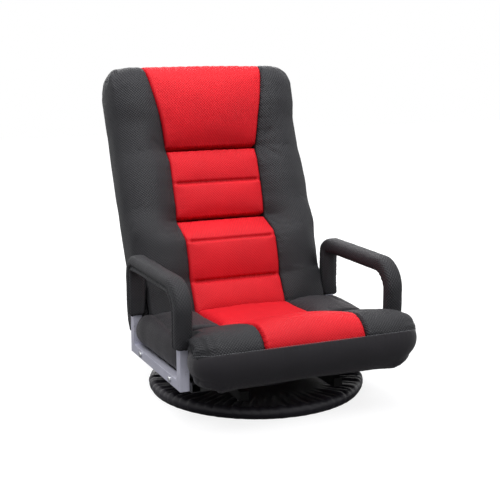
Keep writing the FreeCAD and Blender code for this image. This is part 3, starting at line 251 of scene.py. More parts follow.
def smooth_cloth(name, base, roughness, sheen, thread_pitch=0.0009):
    """Close plain weave with a faint nap."""
    made = Finish(name)
    across, along = weave_of(made, thread_pitch)
    threads = made.math("MULTIPLY", across, along)
    place = made.place()
    fibres = made.noise(place, 900, 4)
    patches = made.noise(place, 12, 4)
    face = made.mix(made.ramp(patches, 0.3, 0.7), shade(base, 0.86), shade(base, 1.14))
    face = made.mix(made.ramp(fibres, 0.4, 0.75, 0, 0.3), face, shade(base, 1.5))
    face = made.mix(made.math("MULTIPLY", made.wear(), 0.3), face, shade(base, 1.9))
    dull = made.ramp(fibres, 0.2, 0.8, roughness - 0.07, roughness + 0.07)
    return made.surface(face, dull, made.relief(threads, 0.25, 0.0002, made.relief(fibres, 0.2, 0.0003)), {
        "Sheen Weight": sheen, "Sheen Roughness": 0.4, "Specular IOR Level": 0.25})


BARE_STEEL = tone(150, 150, 152)


def painted(name, base, roughness, metallic, grain):
    """Powder coat: fine orange peel, and a little metal showing on worn edges."""
    made = Finish(name)
    place = made.place()
    peel = made.noise(place, grain, 3)
    blotch = made.noise(place, 25, 4)
    scuff = made.ramp(made.noise(place, 160, 5, 0.7), 0.62, 0.74)
    face = made.mix(made.ramp(blotch, 0.3, 0.7), shade(base, 0.94), shade(base, 1.06))
    worn = made.math("MULTIPLY", made.wear(), scuff)
    face = made.mix(worn, face, BARE_STEEL)
    dull = made.ramp(peel, 0.25, 0.75, roughness - 0.08, roughness + 0.1)
    return made.surface(face, dull, made.relief(peel, 0.18, 0.0003, made.bevel(0.0012)), {"Metallic": metallic})


def plated(name, base):
    """Zinc plate: cloudy, lightly brushed, with dull spots."""
    made = Finish(name)
    place = made.place()
    cloud = made.noise(place, 60, 4)
    brushed = made.noise(made.node("ShaderNodeMapping", Vector=place, Scale=(40, 1600, 1600)).outputs[0], 1, 2)
    face = made.mix(made.ramp(cloud, 0.3, 0.7), shade(base, 0.82), shade(base, 1.05))
    dull = made.ramp(cloud, 0.3, 0.7, 0.24, 0.42)
    return made.surface(face, dull, made.relief(brushed, 0.12, 0.0002, made.bevel(0.0004)), {
        "Metallic": 1.0, "Anisotropic": 0.2})


def moulded(name, base, roughness, grain):
    """Rubber or plastic with a spark-eroded grain and dust in it."""
    made = Finish(name)
    place = made.place()
    texture = made.noise(place, grain, 4)
    dust = made.ramp(made.noise(place, 45, 5), 0.5, 0.8, 0, 0.25)
    face = made.mix(dust, base, shade(base, 2.4))
    dull = made.ramp(texture, 0.2, 0.8, roughness - 0.1, roughness + 0.08)
    return made.surface(face, dull, made.relief(texture, 0.3, 0.0004, made.bevel(0.0006)), {
        "Specular IOR Level": 0.15})


def strap_cloth(name, base):
    """Ribbed elastic webbing."""
    made = Finish(name)
    place = made.place()
    parts = made.node("ShaderNodeSeparateXYZ", Vector=place)
    ribs = made.math("SINE", made.math("MULTIPLY", parts.outputs["X"], 2 * math.pi / 0.0016))
    cords = made.math("SINE", made.math("MULTIPLY", parts.outputs["Z"], 2 * math.pi / 0.004))
    threads = made.math("MULTIPLY", ribs, cords)
    fibres = made.noise(place, 700, 3)
    face = made.mix(made.ramp(threads, -1, 1), shade(base, 0.7), shade(base, 1.3))
    dull = made.ramp(fibres, 0.2, 0.8, 0.75, 0.92)
    return made.surface(face, dull, made.relief(threads, 0.5, 0.0005), {"Sheen Weight": 0.2})


def spun_thread(name, base):
    """Twisted polyester thread."""
    made = Finish(name)
    twist = made.noise(made.place(), 1800, 2)
    face = made.mix(made.ramp(twist, 0.35, 0.65), shade(base, 0.7), shade(base, 1.15))
    dull = made.ramp(twist, 0.2, 0.8, 0.45, 0.65)
    return made.surface(face, dull, made.relief(twist, 0.4, 0.0003), {"Sheen Weight": 0.3})


FINISHES = {
    "red_mesh": (air_mesh, "red_mesh", 0.6, 0.06, 0.36),
    "black_mesh": (air_mesh, "black_mesh", 0.58, 0.16, 0.6),
    "black_cloth": (smooth_cloth, "black_cloth", 0.6, 0.1),
    "gathered_cloth": (smooth_cloth, "cover_cloth", 0.34, 0.05, 0.0006),
    "black_paint": (painted, "black_paint", 0.42, 0.0, 1500),
    "silver_paint": (painted, "silver_paint", 0.38, 0.35, 1900),
    "plated_steel": (plated, "zinc"),
    "foot_rubber": (moulded, "rubber", 0.8, 600),
    "black_plastic": (moulded, "plastic", 0.72, 1100),
    "elastic_webbing": (strap_cloth, "webbing"),
    "pale_thread": (spun_thread, "pale_thread"),
    "red_thread": (spun_thread, "red_thread"),
}


def finish(name):
    """The finish of this name, made when it is first asked for."""
    found = bpy.data.materials.get(name)
    if found is None or not found.get("chair_finish"):
        maker, colour_name, *values = FINISHES[name]
        found = maker(name, tuple(getattr(colours(), colour_name)), *values)
        found.name = name
        found["chair_finish"] = True
    return found


# Cloth forms: a form is a grid of points, ring after ring, each ring closed

def leaned(x, depth, height):
    """Points drawn on the upright back, in millimetres, set at the back's lean."""
    y = PIVOT_Y + depth * math.cos(LEAN) + height * math.sin(LEAN)
    z = PIVOT_Z - depth * math.sin(LEAN) + height * math.cos(LEAN)
    return np.stack(np.broadcast_arrays(x, y, z), axis=-1) * MM


def follow(rows, places):
    """The columns of a table at any places, on curves that never overshoot its rows."""
    rows = np.array(rows, float)
    at, places = rows[:, 0], np.asarray(places, float)
    step = np.diff(at)
    found = np.clip(np.searchsorted(at, places, "right") - 1, 0, len(at) - 2)
    share = np.clip((places - at[found]) / step[found], 0, 1)
    columns = []
    for column in rows[:, 1:].T:
        slope = np.diff(column) / step
        turn = np.zeros(len(at))
        turn[0], turn[-1] = slope[0], slope[-1]
        for i in range(1, len(at) - 1):
            if slope[i - 1] * slope[i] > 0:
                first, last = 2 * step[i] + step[i - 1], step[i] + 2 * step[i - 1]
                turn[i] = (first + last) / (first / slope[i - 1] + last / slope[i])
        low, high, gap = column[found], column[found + 1], step[found]
        s = share
        columns.append((2 * s**3 - 3 * s**2 + 1) * low + (s**3 - 2 * s**2 + s) * gap * turn[found]
                       + (3 * s**2 - 2 * s**3) * high + (s**3 - s**2) * gap * turn[found + 1])
    return columns


def through(first, middle, last, count):
    """Points on the round arc through three points of a plane."""
    a, b, c = (np.array(p, float) for p in (first, middle, last))
    turn = 2 * ((b - a)[0] * (c - a)[1] - (b - a)[1] * (c - a)[0])
    if abs(turn) < 1e-6:
        return np.linspace(a, c, count)
    ab, ac = np.dot(b - a, b - a), np.dot(c - a, c - a)
    centre = a + np.array([(c - a)[1] * ab - (b - a)[1] * ac, (b - a)[0] * ac - (c - a)[0] * ab]) / turn
    start, mid, end = (math.atan2(*(p - centre)[::-1]) for p in (a, b, c))
    while mid < start:
        mid += 2 * math.pi
    while end < start:
        end += 2 * math.pi
    if end < mid:
        end -= 2 * math.pi
    angles = np.linspace(start, end, count)
    return centre + np.linalg.norm(a - centre) * np.stack([np.cos(angles), np.sin(angles)], axis=1)


def joined(*parts):
    """One closed outline from parts that share their end points."""
    return np.concatenate([np.asarray(part, float)[:-1] for part in parts])


def finer(values):
    """A grid with a point added between every two, on a smooth curve through them."""
    ends = np.concatenate([2 * values[:1] - values[1:2], values, 2 * values[-1:] - values[-2:-1]])
    between = (9 * (ends[1:-2] + ends[2:-1]) - ends[:-3] - ends[3:]) / 16
    tall = np.empty((2 * len(values) - 1,) + values.shape[1:])
    tall[::2], tall[1::2] = values, between
    wide = np.empty((tall.shape[0], 2 * tall.shape[1]) + tall.shape[2:])
    wide[:, ::2] = tall
    wide[:, 1::2] = (9 * (tall + np.roll(tall, -1, 1)) - np.roll(tall, 1, 1) - np.roll(tall, -2, 1)) / 16
    return wide


def outward(grid):
    """The direction out of the form at each point."""
    along = np.gradient(grid, axis=0)
    across = np.roll(grid, -1, 1) - np.roll(grid, 1, 1)
    found = np.cross(across, along)
    found /= np.linalg.norm(found, axis=2, keepdims=True) + 1e-12
    spread = grid - grid.mean(axis=1, keepdims=True)
    return found if np.sum(found * spread) > 0 else -found


def relaxed(grid, times):
    """The rings' corners eased."""
    for _ in range(times):
        grid = grid * 0.5 + (np.roll(grid, 1, 1) + np.roll(grid, -1, 1)) * 0.25
    return grid


def rolled_ends(grid, radius, first=True, last=True):
    """Both ends of a form drawn in on a round of this radius, in metres."""
    steps = np.linalg.norm(np.diff(grid, axis=0), axis=2).mean(axis=1)
    place = np.concatenate([[0], np.cumsum(steps)])
    near = np.full(len(place), 1e9)
    if first:
        near = np.minimum(near, place)
    if last:
        near = np.minimum(near, place[-1] - place)
    reach = np.clip((radius - near) / radius, 0, 1)
    inset = radius * (1 - np.sqrt(np.clip(1 - reach**2, 0, 1)))
    return grid - outward(grid) * inset[:, None, None]


def ripple(place, wave, phase):
    """Uneven waves about one wave long."""
    turn = 2 * math.pi * np.asarray(place) / wave
    return (0.5 * np.sin(turn + phase) + 0.3 * np.sin(0.59 * turn + 2.1 * phase + 1)
            + 0.25 * np.sin(1.63 * turn + 0.7 * phase + 2))


def folds():
    """The height of the cloth's folds, in metres."""
    return sizes().wrinkle * MM


def puckers(away, reach, place, wave, phase, share=1.0):
    """Small folds beside a seam, a share of the full height, dying out over a reach from it."""
    return np.exp(-away / reach) * ripple(place, wave, phase) * share * folds()


def lumps(grid, wave, phase):
    """Broad hollows and swells over a form, about one wave across."""
    x, y, z = (grid[..., k] for k in range(3))
    return (ripple(x + 0.6 * z, wave, phase) * ripple(z - 0.5 * x + 0.4 * y, wave * 1.2, phase + 1.7)
            + 0.5 * ripple(y + 0.3 * x, wave * 0.8, phase + 0.6))


def groove(distance, depth, width):
    """The heights of a sewn channel at a distance from its middle."""
    return -depth * np.exp(-(distance / width) ** 2)


def crease(grid, first, last, width, height):
    """A fold along the line between two points, in metres; a height below zero is a hollow."""
    a, b = np.array(first, float), np.array(last, float)
    line = b - a
    share = np.clip(np.sum((grid - a) * line, axis=2) / np.dot(line, line), 0, 1)
    away = np.linalg.norm(grid - (a + share[..., None] * line), axis=2)
    return height * np.exp(-(away / width) ** 2) * np.sin(math.pi * np.clip(share, 0.04, 0.96))


def mesh_of(name, grid, caps=True, dome=0.0):
    """A mesh object over a form, its cloth lengths in a UV map named weave; dome lifts its closed ends."""
    if np.sum(outward(grid) * np.cross(np.roll(grid, -1, 1) - np.roll(grid, 1, 1),
                                       np.gradient(grid, axis=0))) < 0:
        grid = grid[:, ::-1]
    rows, ring = grid.shape[:2]
    points = [grid.reshape(-1, 3)]
    count = rows * ring
    faces, corners = [], []
    steps = np.linalg.norm(np.roll(grid, -1, 1) - grid, axis=2)
    across = np.concatenate([np.zeros((rows, 1)), np.cumsum(steps, axis=1)], axis=1)
    across -= across.mean(axis=1, keepdims=True)
    along = np.concatenate([[0], np.cumsum(np.linalg.norm(np.diff(grid, axis=0), axis=2).mean(axis=1))])
    index = np.arange(count).reshape(rows, ring)
    following = np.roll(index, -1, 1)
    quads = np.stack([index[:-1], following[:-1], following[1:], index[1:]], axis=-1).reshape(-1, 4)
    faces.extend(quads.tolist())
    low, high = across[:-1], across[1:]
    tall = np.broadcast_to(along[:, None], (rows, ring))
    corners.append(np.stack([
        np.stack([low[:, :-1], tall[:-1]], -1), np.stack([low[:, 1:], tall[:-1]], -1),
        np.stack([high[:, 1:], tall[1:]], -1), np.stack([high[:, :-1], tall[1:]], -1)], axis=2).reshape(-1, 2))
    if caps:
        for edge, turned in ((0, True), (rows - 1, False)):
            before, rim = index[edge], grid[edge]
            centre = rim.mean(axis=0)
            lift = centre - grid[1 if turned else rows - 2].mean(axis=0)
            lift *= dome / (np.linalg.norm(lift) + 1e-12)
            for share in (0.86, 0.66, 0.42, 0.18):
                points.append(centre + (rim - centre) * share + lift * (1 - share**2))
                after = np.arange(count, count + ring)
                count += ring
                cells = np.stack([before, np.roll(before, -1), np.roll(after, -1), after], axis=-1)
                if turned:
                    cells = cells[:, ::-1]
                faces.extend(cells.tolist())
                before = after
            points.append((centre + lift)[None])
            cells = [[before[k], before[(k + 1) % ring], count] for k in range(ring)]
            faces.extend([cell[::-1] for cell in cells] if turned else cells)
            count += 1
    everything = np.concatenate(points)
    mesh = bpy.data.meshes.new(name)
    mesh.from_pydata(everything.tolist(), [], faces)
    layer = mesh.uv_layers.new(name="weave")
    flat = np.zeros((len(mesh.loops), 2))
    done = len(corners[0])
    flat[:done] = corners[0]
    if done < len(flat):
        order = np.empty(len(mesh.loops), dtype=np.int32)
        mesh.loops.foreach_get("vertex_index", order)
        spots = everything[order[done:]]
        flat[done:] = spots[:, :2] + spots[:, 2:] * 0.7
    layer.data.foreach_set("uv", flat.ravel())
    mesh.polygons.foreach_set("use_smooth", [True] * len(mesh.polygons))
    mesh.update()
    made = bpy.data.objects.new(name, mesh)
    bpy.context.scene.collection.objects.link(made)
    return made


CLOTH_PRESSURE = 22.0
CLOTH_FRAMES = 20
CLOTH_VALUES = {"quality": 4, "mass": 0.3, "tension_stiffness": 9, "compression_stiffness": 9,
                "shear_stiffness": 3, "bending_stiffness": 0.3, "use_pressure": True,
                "uniform_pressure_force": CLOTH_PRESSURE, "vertex_group_mass": "held"}


def swollen(name, grid, free):
    """The form after its cloth has blown up against its seams; free is 1 where cloth may move."""
    limit = sizes().swell
    if limit <= 0:
        return grid
    work = mesh_of(name + "_blown", grid)
    same = np.empty(len(work.data.vertices) * 3)
    work.data.vertices.foreach_get("co", same)
    before = same.reshape(-1, 3)[:grid.shape[0] * grid.shape[1]]
    loose = np.array(free, float)
    turned = not np.allclose(before.reshape(grid.shape), grid, atol=1e-6)
    held = 1 - (loose[:, ::-1] if turned else loose).ravel()
    group = work.vertex_groups.new(name="held")
    for vertex, weight in enumerate(held):
        if weight > 0:
            group.add([vertex], float(weight), "REPLACE")
    group.add(list(range(len(before), len(work.data.vertices))), 1.0, "REPLACE")
    cloth = work.modifiers.new("blown", "CLOTH")
    for key, value in CLOTH_VALUES.items():
        setattr(cloth.settings, key, value)
    cloth.settings.effector_weights.gravity = 0
    cloth.point_cache.frame_start, cloth.point_cache.frame_end = 1, CLOTH_FRAMES
    scene = bpy.context.scene
    for step in range(1, CLOTH_FRAMES + 1):
        scene.frame_set(step)
    shaped = work.evaluated_get(bpy.context.evaluated_depsgraph_get())
    after = np.empty(len(shaped.data.vertices) * 3)
    shaped.data.vertices.foreach_get("co", after)
    after = after.reshape(-1, 3)[:len(before)]
    scene.frame_set(1)
    move = after - before
    far = np.linalg.norm(move, axis=1, keepdims=True)
    if not np.isfinite(far).all():
        raise RuntimeError(f"{name}: the cloth came apart")
    move *= limit * np.tanh(far / limit) / (far + 1e-9)
    bpy.data.objects.remove(work)
    move = move.reshape(grid.shape)
    return grid + (move[:, ::-1] if turned else move)


def dressed(piece, body, finish_name, replaced=()):
    """Gives a piece its finish in a slot and its body, and hides the CAD nodes that it stands for."""
    piece.data.materials.append(finish(finish_name))
    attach(piece, body)
    if replaced:
        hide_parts(*replaced)
    return piece


FORMS = {}  # each cushion's points, outward directions and labels, for the stitches


def marked(shape, columns, held=2):
    """Marks a form's columns that face out, and its cloth that may swell: those but for the end rows."""
    faced = np.zeros(shape)
    faced[:, columns] = 1
    free = faced.copy()
    free[:held], free[-2:] = 0, 0
    return faced, free


def cushion(name, grid, free, body, slot, replaced, carve, labels=(), faced=None, dome=0.0):
    """A padded piece: blown up where cloth is free, made finer, then sewn by carve.

    Carve gives heights over the form from its points and labels, a value for each point. Where faced
    is given, they count only on what it marks."""
    if free is not None:
        grid = swollen(name, grid, free)
    grid = finer(grid)
    labels = {key: finer(value[..., None])[..., 0] for key, value in dict(labels).items()}
    height = carve(grid, **labels)
    if faced is not None:
        labels["faced"] = finer(faced[..., None])[..., 0]
        height = height * np.clip(labels["faced"], 0, 1)
    grid = grid + outward(grid) * height[..., None]
    FORMS[name] = (grid, outward(grid), labels)
    return dressed(mesh_of(name, grid, dome=dome), body, slot, replaced)


def lengths(points):
    """How far along a line each of its points lies."""
    return np.concatenate([[0], np.cumsum(np.linalg.norm(np.diff(points, axis=0), axis=1))])


def spaced(points, step):
    """Points a step apart along a line."""
    place = lengths(points)
    count = max(2, int(round(place[-1] / step)) + 1)
    want = np.linspace(0, place[-1], count)
    return np.stack([np.interp(want, place, points[:, k]) for k in range(3)], axis=1)


def tube_mesh(name, runs, radius, sides=8):
    """Round cords along several lines, one mesh, with rounded ends."""
    points, faces = [], []
    for run in runs:
        run = np.asarray(run, float)
        start = len(points)
        tangent = np.gradient(run, axis=0)
        tangent /= np.linalg.norm(tangent, axis=1, keepdims=True) + 1e-12
        aside = np.cross(tangent, (0.13, 0.27, 0.95))
        small = np.linalg.norm(aside, axis=1) < 0.1
        aside[small] = np.cross(tangent[small], (1.0, 0.2, 0.1))
        aside /= np.linalg.norm(aside, axis=1, keepdims=True)
        other = np.cross(tangent, aside)
        for i, point in enumerate(run):
            share = 0.55 if i in (0, len(run) - 1) else 1.0
            for k in range(sides):
                turn = 2 * math.pi * k / sides
                points.append(point + radius * share * (math.cos(turn) * aside[i] + math.sin(turn) * other[i]))
        for i in range(len(run) - 1):
            for k in range(sides):
                low, high = start + i * sides, start + (i + 1) * sides
                faces.append((low + k, low + (k + 1) % sides, high + (k + 1) % sides, high + k))
        last = start + (len(run) - 1) * sides
        faces.append(tuple(range(start + sides - 1, start - 1, -1)))
        faces.append(tuple(range(last, last + sides)))
    mesh = bpy.data.meshes.new(name)
    mesh.from_pydata([tuple(p) for p in points], [], faces)
    mesh.uv_layers.new(name="weave")
    mesh.polygons.foreach_set("use_smooth", [True] * len(mesh.polygons))
    mesh.update()
    made = bpy.data.objects.new(name, mesh)
    bpy.context.scene.collection.objects.link(made)
    return made


STITCH_LIFT = 0.3


def stitches(name, lines, body, finish_name):
    """Single stitches along lines of (points, outward directions), a share of a thread proud of the cloth."""
    thread, step = sizes().thread, sizes().stitch
    runs = []
    for points, out in lines:
        fine = spaced(points + out * STITCH_LIFT * thread, step / 4)
        for start in range(0, len(fine) - 4, 4):
            runs.append(fine[start:start + 4])
    return dressed(tube_mesh(name, runs, thread / 2, 6), body, finish_name)


def cords(name, lines, body, slot, finish_name, radius):
    """Piping along lines of points."""
    return dressed(tube_mesh(name, [spaced(line, 0.004) for line in lines], radius, 10), body, finish_name)


# The back

# Each row of the panels is (height, half width, front); each row of the bolsters is
# (height, inner side, outer side, front at the inner side, crest, front at the outer side, rear)
LUMBAR = ((-50, 113, -44), (-38, 113, -74), (-20, 113, -87), (-8, 113, -90), (25, 113, -86), (55, 113, -79),
          (59, 113, -76), (63, 113, -79), (105, 113, -87), (147, 113, -88), (152, 113, -85), (157, 113, -85),
          (181, 113, -63), (203, 113, -38), (209, 113, -31))
MIDDLE = ((210.5, 113, -31), (220, 113, -41), (255, 113, -46), (291, 113, -47), (296, 113, -44),
          (301, 113, -47), (343, 113, -46), (370, 113, -39), (378, 114, -31))
HEADREST = ((379.5, 115, -31), (390, 116, -43), (436, 122, -58), (495, 134, -66), (550, 145, -62),
            (574, 149, -50), (585, 150, -30))
BOLSTER = ((-50, 113, 195, -44, -45, -42, -11), (-38, 113, 207, -74, -76, -72, -11),
           (-8, 113, 218, -89, -90, -86, -11), (25, 113, 219, -86, -90, -84, -11),
           (60, 113, 219.5, -80, -90, -82, -11), (67.5, 113, 220, -78, -90, -77, 27),
           (74, 113, 221.5, -79, -90, -75, 30), (90, 113, 224, -82, -92, -73, 32),
           (110, 113, 226, -86, -94, -72, 33), (150, 113, 227.5, -86, -95, -72, 30),
           (181, 113, 230, -63, -88, -71, 29), (209, 113, 231, -34, -78, -65, 28),
           (243, 113, 231, -43, -72, -58, 30),
           (292, 113, 230.5, -44, -71, -55, 36), (343, 113, 229.5, -45, -66, -50, 43),
           (379, 116, 229, -34, -60, -44, 45), (436, 123, 229, -52, -60, -42, 46),
           (490, 133, 231, -62, -68, -49, 48), (530, 141, 231, -62, -68, -50, 45),
           (560, 147, 230, -56, -60, -40, 38), (577, 150, 223, -44, -46, -30, 26),
           (587, 152, 207, -20, -20, -14, 8))
LUMBAR_SEAMS, MIDDLE_SEAMS = (59, 152), (296,)
HINGE_ROOM = 66.5
CAP_DOME = 3 * MM
PANEL_REAR = -10.4
PANEL_EDGE = 9.0
# Each row of the collar is (angle above level, reach from the pivot, bend of the outer edge)
COLLAR = ((12, 78, 9), (30, 84, 12), (49, 87, 12), (60, 82, 8), (90, 71, 2), (104, 72, 3))
COLLAR_INNER, COLLAR_X_IN, COLLAR_X_OUT = 66.0, 195, 219.5
PAD_HALF = 193
PANEL_FACE, BOLSTER_FACE, PAD_FACE = slice(1, 44), slice(2, 50), slice(1, 42)  # the columns that face out
REAR_CLOTH_HALF, REAR_CLOTH_LOW, REAR_CLOTH_HIGH, REAR_CLOTH_THICK = 202, 66, 573, 1.1
REAR_WAY = leaned(0, 1, 0) - leaned(0, 0, 0)
QUARTER = np.linspace(0, math.pi / 2, 6)[1:]


def panel_ring(half, front, crown, rear):
    """A level outline of a centre panel: bowed front, rounded edges, flat rear."""
    edge = PANEL_EDGE
    flat = np.linspace(-(half - edge), half - edge, 45)
    bow = front - crown * (1 - (flat / half) ** 2)
    low = bow[-1]
    turn = np.stack([half - edge + edge * np.sin(QUARTER), low + edge * (1 - np.cos(QUARTER))], axis=1)
    mirror = turn[::-1] * (-1, 1)
    return joined(np.concatenate([np.stack([flat, bow], axis=1), turn]),
                  np.linspace(turn[-1], (half, rear), 5), np.linspace((half, rear), (-half, rear), 14),
                  np.linspace((-half, rear), mirror[0], 5),
                  np.concatenate([mirror, [(flat[0], bow[0])]]))


def centre_panel(name, rows, crown, replaced, seams):
    """A red centre panel of the back, with channels sewn across it at the seams' heights."""
    low, high = rows[0][0], rows[-1][0]
    heights = np.linspace(low, high, int((high - low) / 4.4) + 1)
    half, front = follow(rows, heights)
    behind = np.full(len(heights), PANEL_REAR)
    if high > 560:
        behind = np.interp(heights, (550, 560), (PANEL_REAR, 20))
    plan = np.array([panel_ring(*values, crown, back) for *values, back in zip(half, front, behind)])
    grid = leaned(plan[..., 0], plan[..., 1], heights[:, None])
    grid = rolled_ends(grid, 5 * MM)
    across = plan[..., 0]
    up = np.broadcast_to(heights[:, None], across.shape)
    edge = np.broadcast_to(half[:, None], across.shape) - np.abs(across)
    faced, free = marked(across.shape, PANEL_FACE)
    for seam in seams:
        free[np.abs(up - seam) < 2.6] = 0

    def carve(form, across, up, edge):
        height = lumps(form, 0.085, low) * 0.5 * folds()
        for seam in seams:
            away = np.abs(up - seam)
            height += groove(away, sizes().seam_depth, 3.2)
            height += puckers(away, 9, across, 13, seam, 0.7)
            height += puckers(away, 22, across, 34, seam + 1, 0.5)
        height += puckers(np.clip(edge, 0, None), 12, up, 17, low + 2, 0.7)
        height += puckers(np.abs(up - low), 12, across, 24, 3)
        return height + puckers(np.abs(up - high), 12, across, 21, 5)

    cushion(name, grid, free, "back", "red_mesh", replaced, carve,
            {"across": across, "up": up, "edge": edge}, faced, dome=CAP_DOME if high > 560 else 0)


def bolster_ring(height, inner, outer, front_in, crest, front_out, rear):
    """A level outline of a side bolster, drawn for the right side; low down it leaves room for the hinge."""
    edge, bend = PANEL_EDGE, 6 + 6 * min(max((height - 535) / 40, 0), 1)
    middle, shoulder = (inner + outer) / 2, outer - bend

    def face(x):
        share_in = (x - middle) * (x - shoulder) / ((inner - middle) * (inner - shoulder))
        share_mid = (x - inner) * (x - shoulder) / ((middle - inner) * (middle - shoulder))
        share_out = (x - inner) * (x - middle) / ((shoulder - inner) * (shoulder - middle))
        return front_in * share_in + crest * share_mid + front_out * share_out

    flat = np.linspace(inner + edge, shoulder, 20)
    front = face(flat)
    near = np.stack([inner + edge * (1 - np.sin(QUARTER)), front[0] + edge * (1 - np.cos(QUARTER))], axis=1)
    turn = np.linspace(0, math.pi / 2, 6)

    def outer_side(back, inside, lowest):
        side = np.linspace(front[-1] + bend, back - bend, 10)
        bow = 1.5 * np.sin(np.linspace(0, math.pi, 10))
        return np.concatenate([
            np.stack([shoulder + bend * np.sin(turn), front[-1] + bend * (1 - np.cos(turn))], axis=1)[:-1],
            np.stack([outer + bow, side], axis=1)[:-1],
            np.stack([shoulder + bend * np.cos(turn), back - bend + bend * np.sin(turn)], axis=1)[:-1],
            np.linspace((shoulder, back), (inside, back), 5)[:-1], np.linspace((inside, back), lowest, 8)])

    room = -math.sqrt(max(HINGE_ROOM**2 - height**2, 0))
    nearest, frame_side = front[-1] + 2 * bend + 1, min(196, shoulder - 1)
    low = outer_side(max(room, nearest), frame_side, (frame_side, rear))
    full = outer_side(max(rear, nearest), shoulder - 12, (shoulder - 30, rear))
    share = np.clip((height - 60) / 7.5, 0, 1)
    far = low * (1 - share) + full * share
    return joined(np.concatenate([near[::-1], np.stack([flat, front], axis=1)]), far,
                  np.linspace(far[-1], (inner, rear), 17), np.linspace((inner, rear), near[-1], 10))


# Each channel runs out from a seam between the panels, as (height, reach)
BOLSTER_CHANNELS = ((379, 26), (209, 24), (-8, 20))
# Each fold is (first point, last point, width, height), its points as (x, depth, height)
BOLSTER_FOLDS = {
    1: (((128, -52, 372), (176, -70, 338), 0.008, -3.6), ((124, -50, 392), (158, -62, 420), 0.008, -2.6),
        ((126, -56, 196), (184, -88, 176), 0.010, -3.0)),
    -1: (((-126, -50, 386), (-160, -62, 404), 0.008, -2.6), ((-126, -56, 196), (-184, -88, 176), 0.010, -3.0)),
}


def side_bolster(name, side):
    """A black side of the back, with its folds beside the panels' seams."""
    heights = np.linspace(BOLSTER[0][0], BOLSTER[-1][0], 146)
    columns = follow(BOLSTER, heights)
    plan = np.array([bolster_ring(*values) for values in zip(heights, *columns)])
    grid = relaxed(leaned(side * plan[..., 0], plan[..., 1], heights[:, None]), 2)
    grid = rolled_ends(grid, 6 * MM)
    up = np.broadcast_to(heights[:, None], plan.shape[:2])
    inner, outer = columns[:2]
    edge = plan[..., 0] - inner[:, None]
    faced, free = marked(up.shape, BOLSTER_FACE, held=3)
    free[(up < 74) & (outer[:, None] - plan[..., 0] < 30)] = 0

    def carve(form, up, edge):
        x, away = form[..., 0] / MM, np.clip(edge, 0, None)
        height = lumps(form, 0.11, 2.0 + side) * 1.1 * folds()
        height += puckers(away, 10, up, 15, side, 0.8)
        height += puckers(away, 34, up, 52, 4 + side, 1.2)
        for seam, reach in BOLSTER_CHANNELS:
            height += groove(up - seam, 2.2 * MM, 7) * np.exp(-away / reach)
        height += puckers(np.abs(up - 574), 14, x, 26, 2, 0.9)
        height += ripple(x, 48, 1 + side) * np.exp(-((up - 130) / 90) ** 2) * 0.8 * folds()
        for first, last, width, depth in BOLSTER_FOLDS[side]:
            height += crease(form, leaned(*first), leaned(*last), width, depth * folds())
        return height

    cushion(name, grid, free, "back", "black_mesh", (f"back_bolster_{SIDE_WORDS[side]}",), carve,
            {"up": up, "edge": edge}, faced, dome=CAP_DOME)


def hinge_collar(name, side):
    """The bolster's cloth round the hinge cap, from its top to the rear heel."""
    turns = np.radians(np.linspace(COLLAR[-1][0], COLLAR[0][0], 40))
    reach, bends = (column[::-1] for column in follow(COLLAR, np.degrees(turns)[::-1]))
    inner, outside, lip_bend = COLLAR_INNER, COLLAR_X_OUT, 3
    rings = []
    for turn, out, bend in zip(turns, reach, bends):
        low = [(COLLAR_X_IN, inner), (COLLAR_X_IN, out)]
        rim = [(outside - bend * (1 - math.sin(a)), out - bend * (1 - math.cos(a)))
               for a in np.linspace(0, math.pi / 2, 5)]
        lip = [(outside - lip_bend * (1 - math.cos(a)), inner + lip_bend - lip_bend * math.sin(a))
               for a in np.linspace(0, math.pi / 2, 4)]
        outline = joined(np.linspace(low[0], low[1], 6), np.linspace(low[1], rim[0], 6), rim,
                         np.linspace(rim[-1], lip[0], 5), lip, np.linspace(lip[-1], low[0], 6))
        x, radius = outline[:, 0], outline[:, 1]
        rings.append(leaned(side * x, radius * math.cos(turn), radius * math.sin(turn)))
    grid = rolled_ends(np.array(rings), 5 * MM)
    cushion(name, grid, None, "back", "black_mesh", (),
            lambda form: lumps(form, 0.05, 1.0) * 0.3 * MM)


def lower_back_pad(name):
    """The rounded lower end of the back, seen from behind and below."""
    places = np.linspace(-PAD_HALF, PAD_HALF, 80)
    rear = through((60, 62), (78, 5), (40, -46), 30)
    toe = through((40, -46), (14, -53), (-10, -54), 14)
    outline = joined(rear, toe, np.linspace((-10, -54), (-10, -21), 8), np.linspace((-10, -21), (22, -21), 8),
                     np.linspace((22, -21), (22, 62), 18), np.linspace((22, 62), (60, 62), 9))
    outline = relaxed(np.stack([outline, outline]), 1)[0]
    grid = np.array([leaned(x, outline[:, 0], outline[:, 1]) for x in places])
    grid = rolled_ends(grid, 8 * MM)
    across = np.broadcast_to(places[:, None], grid.shape[:2])
    faced, free = marked(grid.shape[:2], PAD_FACE)

    def carve(form, across):
        return lumps(form, 0.1, 4.0) * folds() + puckers(PAD_HALF - np.abs(across), 30, form[..., 2] / MM, 17, 2)

    cushion(name, grid, free, "back", "black_cloth", ("lower_pad",), carve, {"across": across}, faced)


